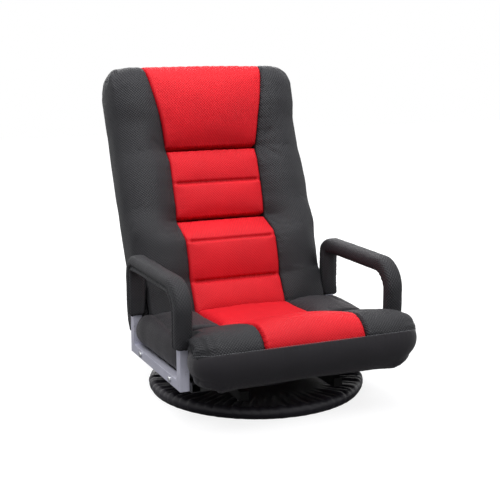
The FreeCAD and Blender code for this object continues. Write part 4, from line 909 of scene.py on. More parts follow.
def rear_cloth(name):
    """The rear cloth, one sheet sewn to the bolsters' rear edges."""
    low = REAR_CLOTH_LOW
    heights = np.linspace(low, REAR_CLOTH_HIGH, 118)
    outer, rear = follow([(row[0], row[2], row[6]) for row in BOLSTER if row[0] > 60], heights)
    wide = np.minimum(REAR_CLOTH_HALF, outer - 20)
    share = np.linspace(-1, 1, 90)
    x = share[None, :] * wide[:, None]
    rise = np.sin(math.pi * (heights - low) / (REAR_CLOTH_HIGH - low))
    depth = rear[:, None] + 1.3 + 3.0 * (1 - np.abs(share) ** 3)[None, :] * rise[:, None]
    front = leaned(x, depth, heights[:, None])
    pull = lumps(front, 0.13, 3.0) * 0.8 * folds()
    pull += puckers((1 - np.abs(share))[None, :], 0.12, heights[:, None], 16, 2, 0.6)
    pull += puckers((heights - low)[:, None], 22, x, 19, 1, 0.35)
    front = front + REAR_WAY / MM * pull[..., None]
    back = front + REAR_WAY * REAR_CLOTH_THICK
    grid = np.concatenate([front[:, ::-1], back], axis=1)
    piece = dressed(mesh_of(name, grid), "back", "black_cloth", ("rear_cover",))
    rim = np.concatenate([back[:, 0], back[-1], back[::-1, -1]])
    piping = cords(name + "_piping", [rim], "back", "black_cloth", "black_cloth", sizes().piping / 2)


# The seat

STRIP_HALF, WEDGE_IN, WEDGE_OUT = 112.7, 113.3, 231.0
SEAT_BASE, SEAT_REAR = 96.5, 72
VALLEY = -79.7  # where the seat cushions meet the front roll
SWING = 96.0  # the room kept free for the back round its pivot


def back_limit(z):
    """How far back a seat cushion reaches at a height, in front of the back's round lower end."""
    return PIVOT_Y - np.sqrt(SWING**2 - np.clip(np.abs(z - PIVOT_Z), 0, 90) ** 2)


def slab_ring(left, right, top, round_left, round_right, count=41):
    """A cross outline of a seat cushion, with a top that follows a curve and rounded upper edges."""
    flat = np.linspace(left + round_left, right - round_right, count)
    high = top(flat)
    inward, down = 1 - np.sin(QUARTER), 1 - np.cos(QUARTER)
    go_right = np.stack([right - round_right * inward, high[-1] - round_right * down], 1)
    go_left = np.stack([left + round_left * inward, high[0] - round_left * down], 1)
    return joined(np.concatenate([np.stack([flat, high], 1), go_right]),
                  np.linspace(go_right[-1], (right, SEAT_BASE), 12),
                  np.linspace((right, SEAT_BASE), (left, SEAT_BASE), count // 2),
                  np.linspace((left, SEAT_BASE), go_left[-1], 12),
                  np.concatenate([go_left[::-1], [(flat[0], high[0])]]))


def strip_top(x):
    """The height of the red strip's top at x."""
    return 165 + 3 * (1 - (x / STRIP_HALF) ** 2)


def side_top(x):
    """The height of a black side's top at x."""
    return follow(((113, 162), (140, 169), (166, 171), (195, 170), (217, 167)), np.abs(x))[0]


def seat_cushion(name, outline, slot, replaced, seams, phase):
    """A seat cushion of this cross outline, from the front roll to the back's round lower end."""
    shares = np.linspace(0, 1, 37)
    x, z = outline[:, 0], outline[:, 1]
    lift = np.clip((z - 130) / 20, 0, 1) * 3.5
    reach = back_limit(z) - 0.5 - VALLEY
    grid = np.array([np.stack([x, VALLEY + share * reach, z + lift * (1 - share) ** 1.5], axis=1)
                     for share in shares]) * MM
    grid = relaxed(rolled_ends(grid, 8 * MM), 1)
    faced, free = marked(grid.shape[:2], z > 135)
    across = np.broadcast_to(x[None], grid.shape[:2])

    def carve(form, across):
        y = form[..., 1] / MM
        height = lumps(form, 0.09, phase) * 0.9 * folds()
        for seam in seams:
            height += puckers(np.abs(across - seam), 11, y, 15, phase + seam, 0.8)
        height += puckers(y - VALLEY, 14, across, 16, phase, 1.1)
        return height + puckers(SEAT_REAR - y, 14, across, 22, phase + 1, 0.9)

    cushion(name, grid, free, "seat", slot, replaced, carve, {"across": across}, faced)


ROLL_REAR, ROLL_WALL, ROLL_END = -80.3, -203, 205
ROLL_CREST, ROLL_SEAM, ROLL_SHELF = (-241, 212), (-300, 176.5), 153
ROLL_SPLIT = 112.9
ROLL_FACE, BAND_FACE = slice(14, 64), slice(1, 34)


def narrowed(grid):
    """The roll's ends drawn in towards their rear and their foot, in millimetres."""
    x, y, z = (grid[..., k] for k in range(3))
    limit = follow(((-310, 1.0), (-244, 1.0), (-228, 0.95), (-213, 0.87), (ROLL_WALL, 0.8), (-80, 0.8)), y)[0]
    past = np.clip(np.abs(x) - ROLL_END, 0, None)
    before_wall = y < ROLL_WALL + 0.5
    inside = np.where(before_wall, limit, 1.0)
    foot = 1 - 0.5 * np.clip((150 - z) / 60, 0, 1) ** 2 * before_wall
    moved = grid.copy()
    moved[..., 0] = np.sign(x) * (np.minimum(np.abs(x), ROLL_END) + past * inside * foot)
    return moved


# The front outline from its middle to the right end, as (x, depth)
BAND_PLAN = ((0, -300), (190, -300), (206, -298.5), (221, -293.5), (234, -284), (243, -271), (246.5, -258),
             (246.7, -244), (244, -228), (240, -213), (237.5, -206))


def corner_draw(x):
    """How far the front outline has curved back at x."""
    ahead = [(row[0] + 3 * row[0] / 247, row[1] + 300) for row in BAND_PLAN[:8]]
    return follow(ahead, np.abs(x))[0]


def seam_drop(x):
    """How far the front seam has come down at x, on the way round the front."""
    return follow(((0, 0), (205, 0), (219, 1.5), (232, 4), (240, 6.5), (245, 8.5), (250, 11)), np.abs(x))[0]


# How much lower the roll's crest lies at x, towards its ends
END_CHANGE = ((113, 0), (166, -4), (205, -6), (219, -8), (232, -13), (240, -18), (245, -23), (249.6, -34))


def roll_ring(x, change):
    """The front roll's side outline at x: rear wall, slope, crest, face, hollow and base."""
    draw = float(corner_draw(x))
    crest = (ROLL_CREST[0] + min(draw, 30) / 4, ROLL_CREST[1] + change)
    seam = (ROLL_SEAM[0] + draw, ROLL_SEAM[1] - float(seam_drop(x)))
    start = (ROLL_REAR, 161 + min(change, 0) / 2)
    behind = ((start[0] + crest[0]) / 2, (start[1] + crest[1]) / 2 + 6)
    slope = through(crest, behind, start, 60)[::-1]
    split = np.argmin(np.abs(slope[:, 0] - ROLL_WALL))
    low_part = np.array([slope[int(round(k))] for k in np.linspace(0, split, 27)])
    high_part = np.array([slope[int(round(k))] for k in np.linspace(split, 59, 10)])
    foot = (-245 + draw / 2, SEAT_BASE)
    face = ((crest[0] + seam[0]) / 2 - 8 + draw / 6, (crest[1] + seam[1]) / 2 + 9)
    hollow = ((seam[0] + foot[0]) / 2 - 13, (seam[1] + foot[1]) / 2 - 7)
    rear_foot, rear_shelf = (ROLL_REAR, SEAT_BASE), (ROLL_REAR, ROLL_SHELF)
    wall_shelf = (ROLL_WALL, min(ROLL_SHELF, low_part[-1][1]))
    full = np.concatenate([np.linspace(rear_foot, start, 13)[:-1], low_part])
    shelf = np.concatenate([np.linspace(rear_foot, rear_shelf, 13)[:-1], np.linspace(rear_shelf, wall_shelf, 22),
                            np.linspace(wall_shelf, low_part[-1], 6)[1:]])
    wall = np.linspace((ROLL_WALL, SEAT_BASE), low_part[-1], 39)
    to_shelf = np.clip((abs(x) - 213) / 6, 0, 1)
    to_wall = np.clip((abs(x) - 229) / 3, 0, 1)
    ease = [s * s * (3 - 2 * s) for s in (to_shelf, to_wall)]
    rear = full * (1 - ease[0]) + shelf * ease[0]
    rear = rear * (1 - ease[1]) + wall * ease[1]
    rest = joined(high_part, through(crest, face, seam, 18), through(foot, hollow, seam, 20)[::-1],
                  np.linspace(foot, rear[0], 26))
    return np.concatenate([rear[:-1], rest])


def front_roll(name, places, changes, slot, replaced, phase, first, last):
    """A part of the front roll; its first and last ends close in a seam or as an open end."""
    rings = np.array([roll_ring(x, change) for x, change in zip(places, changes)])
    plan_x = np.broadcast_to(places[:, None], rings.shape[:2])
    grid = narrowed(np.stack([plan_x, rings[..., 0], rings[..., 1]], axis=-1))
    grid = relaxed(grid * MM, 2)
    for kind in ("seam", "end"):
        if kind in (first, last):
            rolled = rolled_ends(grid, 9 * MM, first == kind, last == kind)
            # an open end is rounded only above the band, which covers it further down
            share = np.clip((grid[..., 2:] / MM - 168) / 14, 0, 1) if kind == "end" else 1
            grid = grid + (rolled - grid) * share
    faced, free = marked(plan_x.shape, ROLL_FACE)
    free[(np.abs(plan_x) > 206) & (rings[..., 0] > -214)] = 0

    def carve(form, across):
        y, z = form[..., 1] / MM, form[..., 2] / MM
        height = lumps(form, 0.1, phase) * 0.9 * folds()
        height += puckers(np.abs(np.abs(across) - ROLL_SPLIT), 13, y + z, 16, phase + 1, 0.8)
        height += puckers(-np.clip(y + 80, -200, 0), 14, across, 17, phase)
        height += puckers(np.hypot(y + 300, z - 176), 16, across, 12, phase + 3, 0.9)
        outer = np.clip((np.abs(across) - 196) / 30, 0, 1)
        return height + outer * ripple(z + 0.4 * y, 24, phase) * folds() * (y < ROLL_WALL - 2)

    cushion(name, grid, free, "seat", slot, replaced, carve, {"across": plan_x}, faced)


def band_path(count=131):
    """The front band's plan from the left end round the front to the right end, with its outward direction."""
    half = np.array(BAND_PLAN, float)
    whole = np.concatenate([half[:0:-1] * (-1, 1), half[1:]])
    place = np.concatenate([[0], np.cumsum(np.hypot(*np.diff(whole, axis=0).T))])
    want = np.linspace(0, place[-1], count)
    path = np.stack(follow(np.column_stack([place, whole]), want), axis=1)
    along = np.gradient(path, axis=0)
    along /= np.linalg.norm(along, axis=1, keepdims=True)
    return path, np.stack([along[:, 1], -along[:, 0]], axis=1)


def band_ring(draw_in, lower, rise, cut):
    """The band's section as (distance out, height): seam, belly, turn and hem, then back inside."""
    level = 175.5 - lower
    seam, belly, turn = (3 - lower / 3, level), (5, 146 - lower / 3), (-12 * draw_in**0.5, 106 + cut)
    under, hem = (-40 * draw_in, 87 + rise), (-78 * draw_in, 82 + rise)
    lip, foot, inner_seam = (hem[0], hem[1] + 4), (-55 * draw_in, 97), (1 - lower / 3, level)
    hollow = ((inner_seam[0] + foot[0]) / 2 - 16 * draw_in, (inner_seam[1] + foot[1]) / 2 - 10 * draw_in)
    return joined(through(hem, under, turn, 16), through(turn, belly, seam, 20), np.linspace(seam, inner_seam, 3),
                  through(foot, hollow, inner_seam, 18)[::-1], np.linspace(foot, lip, 6), np.linspace(lip, hem, 5))


# Each row is (distance along the plan, depth, seam drop, rise, corner cut)
BAND_CHANGE = ((0, 1, 0, 4, 0), (150, 1, 0, 1, 0), (200, 0.62, 0, 4, 4), (222, 0.5, 2, 11, 10),
               (240, 0.46, 4.5, 14, 12), (262, 0.46, 8, 13, 12), (285, 0.44, 10, 11, 10),
               (300, 0.36, 10.5, 8, 6), (321, 0.28, 12, 6, 2))


def band_change(away):
    """The band's depth, seam drop, rise and corner cut at a distance from its middle along its plan."""
    return follow(BAND_CHANGE, np.abs(away))


def along_band(path):
    """The distance of each point of the band's plan from its middle."""
    place = np.concatenate([[0], np.cumsum(np.hypot(*np.diff(path, axis=0).T))])
    return place - place[-1] / 2


def front_band(name):
    """The smooth black band from the front seam down to its hem under the seat."""
    path, out = band_path()
    away = along_band(path)
    rings = []
    for (x, y), (out_x, out_y), change in zip(path, out, zip(*band_change(away))):
        ring = band_ring(*change)
        rings.append(np.stack([x + out_x * ring[:, 0], y + out_y * ring[:, 0], ring[:, 1]], axis=1))
    grid = rolled_ends(relaxed(np.array(rings) * MM, 1), 3 * MM)
    across = np.broadcast_to(away[:, None], grid.shape[:2])
    faced, free = marked(grid.shape[:2], BAND_FACE)

    def carve(form, across):
        z = form[..., 2] / MM
        height = lumps(form, 0.12, 6.0) * 0.7 * folds()
        height += puckers(np.abs(z - 174), 9, across, 12, 1, 0.7)
        gathered = np.exp(-((across + 215) / 45) ** 2) + np.exp(-((across - 225) / 45) ** 2) + 0.25
        height += np.exp(-np.abs(z - 94) / 10) * ripple(across, 10, 2) * gathered * 0.9 * folds()
        return height + groove(z - 93, 1.3 * MM, 2.2)

    cushion(name, grid, free, "seat", "black_cloth", ("front_border",), carve, {"across": across}, faced)


# The arms and hinge caps

ARM_X, ARM_FRONT, ARM_REAR, ARM_TOP, SLEEVE_LOW = 243.0, -182.0, 115.0, 283.0, 158.0


def arm_line():
    """The sleeve's centre line in the side view, with the direction that faces out of the loop."""
    front_bend, rear_bend = 50.0, 28.0
    low, high = ARM_TOP - front_bend, ARM_TOP - rear_bend
    front, rear = ARM_FRONT + front_bend, ARM_REAR - rear_bend
    over, down = np.linspace(math.pi, math.pi / 2, 18), np.linspace(math.pi / 2, 0, 12)
    points = np.concatenate([
        np.linspace((ARM_FRONT, SLEEVE_LOW), (ARM_FRONT, low), 18)[:-1],
        np.stack([front + front_bend * np.cos(over), low + front_bend * np.sin(over)], 1)[:-1],
        np.linspace((front, ARM_TOP), (rear, ARM_TOP), 48)[:-1],
        np.stack([rear + rear_bend * np.cos(down), high + rear_bend * np.sin(down)], 1)[:-1],
        np.linspace((ARM_REAR, high), (ARM_REAR, SLEEVE_LOW), 22)])
    along = np.gradient(points, axis=0)
    along /= np.linalg.norm(along, axis=1, keepdims=True)
    return points, np.stack([-along[:, 1], along[:, 0]], axis=1)


def arm_sleeve(name, side):
    """A padded sleeve with a seam along its outer side and folds inside its bends."""
    points, out = arm_line()
    place = lengths(points)
    total = place[-1]
    half_x, half_out = 19.0, 17.0
    turns = np.linspace(0, 2 * math.pi, 48, endpoint=False) + math.pi / 48
    power = 0.62
    shape_x = np.sign(np.cos(turns)) * np.abs(np.cos(turns)) ** power
    shape_o = np.sign(np.sin(turns)) * np.abs(np.sin(turns)) ** power
    rings = []
    for (y, z), (oy, oz), at in zip(points, out, place):
        ends = min(at, total - at)
        draw = 1 - 0.2 * math.exp(-(ends / 4) ** 2)
        x = side * ARM_X + half_x * draw * shape_x
        o = half_out * draw * shape_o
        rings.append(np.stack([x, y + oy * o, z + oz * o], axis=1))
    grid = rolled_ends(np.array(rings) * MM, 3 * MM)
    place_all = np.broadcast_to(place[:, None], grid.shape[:2])
    to_out = np.broadcast_to(shape_o[None], grid.shape[:2])
    to_side = np.broadcast_to(side * shape_x[None], grid.shape[:2])
    free = np.ones(grid.shape[:2]) * 0.9
    free[:3], free[-3:] = 0, 0
    by_seam = np.abs(side * shape_x * half_x - 18) + np.abs(shape_o * half_out + 2) < 4
    free[:, by_seam] = 0

    def carve(form, place, to_out, to_side):
        x, y = form[..., 0] / MM, form[..., 1] / MM
        height = lumps(form, 0.06, 1.5 + side) * 0.5 * folds()
        outer = np.clip(to_side * 3 - 1.6, 0, 1)
        height += groove(to_out + 0.42, 4.4 * MM, 0.15) * outer
        height += 3.0 * MM * np.exp(-((to_out + 0.8) / 0.22) ** 2) * outer
        height += puckers(np.abs(to_out + 0.5), 0.4, place, 11, side, 0.9) * outer
        inner_front = np.exp(-((place - 118) / 30) ** 2) * np.clip(-to_out, 0, 1)
        height += inner_front * np.abs(np.sin(place / 5.2)) * 2.0 * folds()
        inner_rear = np.exp(-((place - 362) / 18) ** 2) * np.clip(-to_out, 0, 1)
        height += inner_rear * np.abs(np.sin(place / 4.4)) * 1.8 * folds()
        rear_post = np.clip((place - 380) / 20, 0, 1) * np.clip((total - 6 - place) / 20, 0, 1)
        height += rear_post * ripple(y, 11, 2 + side) * 1.5 * folds()
        return height + puckers(np.minimum(place, total - place), 9, y + x, 8, 3, 0.8)

    cushion(name, grid, free, "seat", "black_mesh", (f"arm_pad_{SIDE_WORDS[side]}",), carve,
            {"place": place_all, "to_out": to_out, "to_side": to_side})


# Each row is (distance back, top, foot, how far out the bulge reaches)
SIDE_PANEL = ((-163, 146, 101, 236), (-160, 150, 98.5, 238), (-152, 153.5, 96.6, 240), (-110, 157, 96.2, 244),
              (-80, 161, 96.2, 245), (-40, 164.5, 96.2, 247), (20, 167, 96.2, 250), (62, 167, 96.2, 252.5),
              (80, 164.5, 96.2, 253), (92, 158, 97.5, 253.6), (99, 149, 103, 254), (102, 141, 109, 254),
              (103.6, 131, 118, 254))
SIDE_MIDDLE, SIDE_HALF = -29.75, 133.25
SIDE_FACE, SIDE_STEP = 229, 66
INNER_BEFORE, INNER_BEHIND = 206, 220.6


def side_panel(name, side):
    """The padded side of the seat, which bulges between the arm's posts and in front of the hinge."""
    shares = np.sin(np.linspace(-math.pi / 2, math.pi / 2, 74))
    places = SIDE_MIDDLE + SIDE_HALF * shares
    places[np.argmin(np.abs(places - SIDE_STEP))] = SIDE_STEP
    top, low, reach = follow(SIDE_PANEL, places)
    around, squareness = np.linspace(0, math.pi, 44), 1 / 1.1
    rings = []
    for y, share, high, foot, out in zip(places, shares, top, low, reach):
        power = 7 if share > 0 else 2.6
        bulge = (out - SIDE_FACE) * max(1 - abs(share) ** power, 0) ** (1 / power)
        middle, half = (high + foot) / 2, (high - foot) / 2
        rise = np.sign(np.cos(around)) * np.abs(np.cos(around)) ** squareness
        face = np.stack([SIDE_FACE + bulge * np.sin(around) ** squareness, middle + half * rise], axis=1)
        inner = INNER_BEFORE if y <= SIDE_STEP else INNER_BEHIND
        edge_x = np.linspace(inner, SIDE_FACE, 9)
        droop = follow(((206, 7), (213, 3.5), (218, 1.5), (222, 0.4), (229, 0)), edge_x)[0]
        edge_z = high - droop * min(half / 20, 1)
        ring = joined(face, np.linspace((SIDE_FACE, foot), (inner, foot), 7),
                      np.linspace((inner, foot), (inner, edge_z[0]), 9), np.stack([edge_x, edge_z], axis=1))
        rings.append(np.stack([ring[:, 0], np.full(len(ring), y), ring[:, 1]], axis=1))
    grid = np.array(rings) * (side * MM, MM, MM)

    def carve(form):
        y, z = form[..., 1] / MM, form[..., 2] / MM
        return lumps(form, 0.09, 3.0 + side) * 0.8 * folds() + puckers(np.abs(z - 99), 9, y, 18, 2, 0.7)

    cushion(name, grid, None, "seat", "black_cloth", (), carve)


# How far in the cap's outline lies at each x, from its rear to its face
CAP_ROUND = ((217.3, 0.97), (217.6, 1.0), (222.0, 1.0), (225.5, 0.995), (228.0, 0.98), (229.8, 0.95),
             (231.0, 0.9), (231.7, 0.82), (232.1, 0.71), (232.3, 0.58), (232.4, 0.44), (232.5, 0.3))
CAP_RADIUS = 62


def hinge_cap(name, side):
    """The padded disc over the hinge, with its skirt that runs forward over the seat frame."""
    arc = np.radians(np.linspace(-46.5, 176, 90))
    disc = np.stack([PIVOT_Y + CAP_RADIUS * np.cos(arc), PIVOT_Z + CAP_RADIUS * np.sin(arc)], axis=1)
    waist, tip, foot = (76.5, 121.5), (75.5, 113.0), (82.5, 95.6)
    edge = joined(disc, through(disc[-1], (90.5, 130.0), waist, 10), through(waist, (74.6, 117.5), tip, 5),
                  np.linspace(tip, foot, 8), np.linspace(foot, disc[0] + (0, 0.6), 44))
    centre = edge.mean(axis=0) + (14, 4)
    rings = []
    for x, share in CAP_ROUND:
        ring = centre + (edge - centre) * share
        rings.append(np.stack([np.full(len(ring), side * x), ring[:, 0], ring[:, 1]], axis=1))
    grid = np.array(rings) * MM

    def carve(form):
        y, z = form[..., 1] / MM - PIVOT_Y, form[..., 2] / MM - PIVOT_Z
        out, angle = np.hypot(y, z), np.degrees(np.arctan2(z, y))
        return (groove(out - 54, 1.0 * MM, 1.8) + puckers(np.abs(out - 56), 6, angle, 11, 1, 0.4)
                + lumps(form, 0.06, 2.0) * 0.3 * folds())

    cushion(name, grid, None, "seat", "black_mesh", (f"hinge_cap_{SIDE_WORDS[side]}",), carve)


# The base cover

COVER_MOUTH = 96
COVER_CLOTH = 0.9 * MM
ELASTIC_RADIUS, BINDING_RADIUS = 1.4 * MM, 1.2 * MM
HEM = 0.6 * MM


def ring_cover(name):
    """Cloth drawn over the ring by a hem, gathered into pleats near its rim."""
    ring_radius, ring_mid, tube = 228.0, 12.5, 12.9
    around = np.radians(np.linspace(0, 360, 1080, endpoint=False))
    flat = np.linspace(COVER_MOUTH, ring_radius, 60)
    turn = np.radians(np.linspace(90, -58, 34))[1:]
    radius = np.concatenate([flat, ring_radius + tube * np.cos(turn)])
    level = np.concatenate([np.full(len(flat), ring_mid + tube), ring_mid + tube * np.sin(turn)])
    out_r = np.concatenate([np.zeros(len(flat)), np.cos(turn)])
    out_z = np.concatenate([np.ones(len(flat)), np.sin(turn)])
    place = np.concatenate([[0], np.cumsum(np.hypot(np.diff(radius), np.diff(level)))])
    rim = place[len(flat) - 1]
    size = sizes()
    count = size.pleat_count
    fewer = int(count * 0.61)
    sway = 0.5 * np.sin(3 * around + 1) + 0.35 * np.sin(7 * around + 2) + 0.2 * np.sin(13 * around)
    height = np.zeros((len(place), len(around)))
    for k, (distance, total) in enumerate(zip(place - rim, place)):
        start = np.clip((total - 56 - 12 * np.sin(5 * around + 0.6)) / 34, 0, 1)
        end = np.clip((30 + 5 * np.sin(9 * around) - distance) / 30, 0.12, 1)
        strength = start**1.4 * end
        bend = sway + 0.35 * np.sin(0.055 * distance + 2 * around)
        wave = np.sin(count * around + 3 * bend)
        sharp = 1 - np.abs(np.sin(0.5 * count * around + 1.5 * bend)) ** 0.7
        other = np.sin(fewer * around + 2.2 * bend + 0.03 * distance)
        pleats = 0.45 * sharp + 0.28 * wave + 0.27 * other
        height[k] = strength * pleats * (0.75 + 0.25 * np.sin(11 * around + 1))
    hem = np.exp(-((place - place[-1] + 3) / 2.4) ** 2)[:, None] * HEM
    slack = HEM * np.sin(2 * around + 1)[None] * np.exp(-((place - 60) / 40) ** 2)[:, None]
    lift = height * size.pleat + hem + slack
    r = radius[:, None] * MM + out_r[:, None] * lift
    z = level[:, None] * MM + out_z[:, None] * lift
    grid = np.stack([r * np.cos(around), r * np.sin(around), z], axis=-1)
    piece = dressed(mesh_of(name, grid, caps=False), "base", "gathered_cloth", ("base_cover",))
    thick = piece.modifiers.new("cloth", "SOLIDIFY")
    thick.thickness, thick.offset = COVER_CLOTH, -1
    closed = np.concatenate([grid, grid[:, :1]], axis=1)
    band = cords(name + "_elastic", [closed[-1]], "base", "gathered_cloth", "gathered_cloth", ELASTIC_RADIUS)
    mouth = cords(name + "_binding", [closed[0]], "base", "gathered_cloth", "gathered_cloth", BINDING_RADIUS)


# The stitches

FRONT_SEAM_OUT, FRONT_SEAM_HEIGHT, FRONT_SEAM_HALF = 3.2, 176.8, 262


def row_at(name, value, margin=4.0):
    """The line across a panel's face at this height, with margin millimetres left at its ends."""
    grid, out, labels = FORMS[name]
    row = int(np.argmin(np.abs(labels["up"][:, 20] - value)))
    across = labels["across"][row]
    inside = (labels["faced"][row] > 0.5) & (np.abs(across) < np.abs(across).max() - margin)
    order = np.argsort(across[inside])
    return grid[row][inside][order], out[row][inside][order]


def front_seam():
    """The line of the front seam, with no lift: it lies clear of the cloth."""
    path, out = band_path(260)
    away = along_band(path)
    shown = np.abs(away) < FRONT_SEAM_HALF
    path, out, drop = path[shown], out[shown], band_change(away)[1][shown]
    seam = np.column_stack([path + out * FRONT_SEAM_OUT, FRONT_SEAM_HEIGHT - drop]) * MM
    return seam, np.zeros_like(seam)


# The stage

# Each light is (name, place, aim, power, width, height)
LIGHTS = (
    ("key_light", (-1.1, -0.7, 2.0), (0, 0.05, 0.45), 26, 1.0, 1.0),
    ("fill_light", (1.1, -1.0, 1.7), (0, 0.15, 0.55), 16, 0.9, 0.9),
    ("top_light", (0.0, 0.1, 2.0), (0, 0, 0.2), 26, 1.4, 1.0),
    ("rear_light", (0.4, 2.2, 1.3), (0, 0.2, 0.35), 30, 1.8, 1.4),
    ("low_light", (-0.5, -2.0, 0.2), (0, -0.1, 0.04), 3, 1.8, 0.25),
)
WHITE = (1, 1, 1, 1)
CAMERA_PLACE, CAMERA_WAY, CAMERA_LENS = (-0.94855, -2.08829, 0.77129), (0.40025, 0.89476, -0.19801), 76.03


def studio_floor(scene):
    """A floor that lights up to white for the camera and, further out, for mirrored rays."""
    mesh = bpy.data.meshes.new("studio_floor")
    mesh.from_pydata([(-6, -6, 0), (6, -6, 0), (6, 6, 0), (-6, 6, 0)], [], [(0, 1, 2, 3)])
    floor = bpy.data.objects.new("studio_floor", mesh)
    scene.collection.objects.link(floor)
    made = Finish("studio_floor", Roughness=0.9)
    made.plug(made.shader, "Base Color", (*colours().floor, 1))
    path = made.node("ShaderNodeLightPath")
    made.shader.inputs["Emission Color"].default_value = WHITE
    apart = made.node("ShaderNodeVectorMath", operation="LENGTH", i0=made.place()).outputs["Value"]
    seen = made.math("MULTIPLY", path.outputs["Is Camera Ray"], made.ramp(apart, 0.5, 1.2, 0.84, 1.0))
    mirrored = made.math("MULTIPLY", path.outputs["Is Glossy Ray"], made.ramp(apart, 0.6, 1.6, 0.0, 0.6))
    made.plug(made.shader, "Emission Strength", made.math("ADD", seen, mirrored))
    mesh.materials.append(made.material)


def studio_world(scene):
    """A world that is white to camera, transmission and glossy rays, and grey from above for the rest."""
    world = bpy.data.worlds.new("studio")
    scene.world = world
    world.use_nodes = True
    nodes, links = world.node_tree.nodes, world.node_tree.links
    sky = nodes["Background"]
    sky.inputs["Color"].default_value = WHITE
    path = nodes.new("ShaderNodeLightPath")
    white = path.outputs["Is Camera Ray"]
    for ray in ("Is Transmission Ray", "Is Glossy Ray"):
        either = nodes.new("ShaderNodeMath")
        either.operation = "MAXIMUM"
        links.new(white, either.inputs[0])
        links.new(path.outputs[ray], either.inputs[1])
        white = either.outputs[0]
    towards = nodes.new("ShaderNodeTexCoord")
    parts = nodes.new("ShaderNodeSeparateXYZ")
    links.new(towards.outputs["Generated"], parts.inputs[0])
    height = nodes.new("ShaderNodeMapRange")
    for key, number in (("From Min", 0.0), ("From Max", 1.0), ("To Min", 0.06), ("To Max", 0.5)):
        height.inputs[key].default_value = number
    links.new(parts.outputs["Z"], height.inputs["Value"])
    level = nodes.new("ShaderNodeMix")
    level.inputs[3].default_value = 1.0
    links.new(white, level.inputs[0])
    links.new(height.outputs["Result"], level.inputs[2])
    links.new(level.outputs[0], sky.inputs["Strength"])


def aim(item, place, way):
    """Puts a light or camera at a place, looking along way."""
    item.location = place
    item.rotation_mode = "QUATERNION"
    item.rotation_quaternion = Vector(way).to_track_quat("-Z", "Y")


def studio_lights(scene):
    """Soft lights all round the chair."""
    for name, place, target, power, wide, tall in LIGHTS:
        lamp = bpy.data.lights.new(name, "AREA")
        lamp.shape = "RECTANGLE"
        lamp.size, lamp.size_y = wide, tall
        lamp.energy = power
        holder = bpy.data.objects.new(name, lamp)
        aim(holder, place, Vector(target) - Vector(place))
        scene.collection.objects.link(holder)


def photo_camera(scene):
    """The camera of the photo."""
    lens = bpy.data.cameras.new("photo_camera")
    lens.lens, lens.sensor_width = CAMERA_LENS, 36
    lens.clip_start, lens.clip_end = 0.05, 50
    camera = bpy.data.objects.new("photo_camera", lens)
    aim(camera, CAMERA_PLACE, CAMERA_WAY)
    scene.collection.objects.link(camera)
    scene.camera = camera


# Operators

class CHAIR_OT_frame_finishes(bpy.types.Operator):
    """Gives every rigid part of the frame its finish"""
    bl_idname = "floor_chair.frame_finishes"
    bl_label = "Frame Finishes"

    def execute(self, context):
        for node, part in frame["nodes"].items():
            for held in part.material_slots:
                name = held.material.name.split(".")[0] if held.material else ""
                if name not in FINISHES:
                    raise RuntimeError(f"{node} has no known finish: {name!r}")
                held.material = finish(name)
        return {"FINISHED"}


class CHAIR_OT_back_panels(bpy.types.Operator):
    """Makes the red centre panels of the back"""
    bl_idname = "floor_chair.back_panels"
    bl_label = "Back Panels"

    def execute(self, context):
        centre_panel("lumbar_panel", LUMBAR, 4, ("lumbar_centre",), LUMBAR_SEAMS)
        centre_panel("middle_panel", MIDDLE, 3, ("back_centre",), MIDDLE_SEAMS)
        centre_panel("headrest_panel", HEADREST, 4, ("headrest_centre",), ())
        return {"FINISHED"}


class CHAIR_OT_side_bolsters(bpy.types.Operator):
    """Makes the black side bolsters and their collars round the hinges"""
    bl_idname = "floor_chair.side_bolsters"
    bl_label = "Side Bolsters"

    def execute(self, context):
        for word, side in SIDES.items():
            side_bolster(f"side_bolster_{word}", side)
            hinge_collar(f"hinge_collar_{word}", side)
        return {"FINISHED"}


class CHAIR_OT_rear_of_back(bpy.types.Operator):
    """Makes the rear cloth and the rounded lower end of the back"""
    bl_idname = "floor_chair.rear_of_back"
    bl_label = "Rear of the Back"

    def execute(self, context):
        lower_back_pad("lower_back_pad")
        rear_cloth("rear_cloth")
        return {"FINISHED"}


class CHAIR_OT_seat_cushions(bpy.types.Operator):
    """Makes the seat's red strip and smooth black sides"""
    bl_idname = "floor_chair.seat_cushions"
    bl_label = "Seat Cushions"

    def execute(self, context):
        seat_cushion("seat_strip", slab_ring(-STRIP_HALF, STRIP_HALF, strip_top, 9, 9), "red_mesh",
                     ("seat_centre",), (-STRIP_HALF, STRIP_HALF), 1.0)
        for word, side in SIDES.items():
            outline = slab_ring(WEDGE_IN, WEDGE_OUT, side_top, 9, 15, count=25) * (side, 1)
            seat_cushion(f"seat_side_{word}", outline, "black_cloth", (f"seat_wedge_{word}",),
                         (side * WEDGE_IN,), 2.0 + side)
        return {"FINISHED"}


class CHAIR_OT_front_roll(bpy.types.Operator):
    """Makes the raised roll at the front edge and the band below it"""
    bl_idname = "floor_chair.front_roll"
    bl_label = "Front Roll"

    def execute(self, context):
        middle = np.linspace(-STRIP_HALF, STRIP_HALF, 50)
        front_roll("front_roll_middle", middle, 7 * (1 - (middle / STRIP_HALF) ** 2), "red_mesh",
                   ("front_roll_centre",), 1.0, "seam", "seam")
        places = np.concatenate([np.linspace(WEDGE_IN, 211, 22)[:-1], np.linspace(211, 233, 10)[:-1],
                                 np.linspace(233, 249.6, 7)])
        changes = follow(END_CHANGE, places)[0]
        for word, side in SIDES.items():
            front_roll(f"front_roll_end_{word}", side * places, changes, "black_mesh",
                       (f"front_roll_{word}",), 2.0 + side, "seam", "end")
        front_band("front_band")
        return {"FINISHED"}


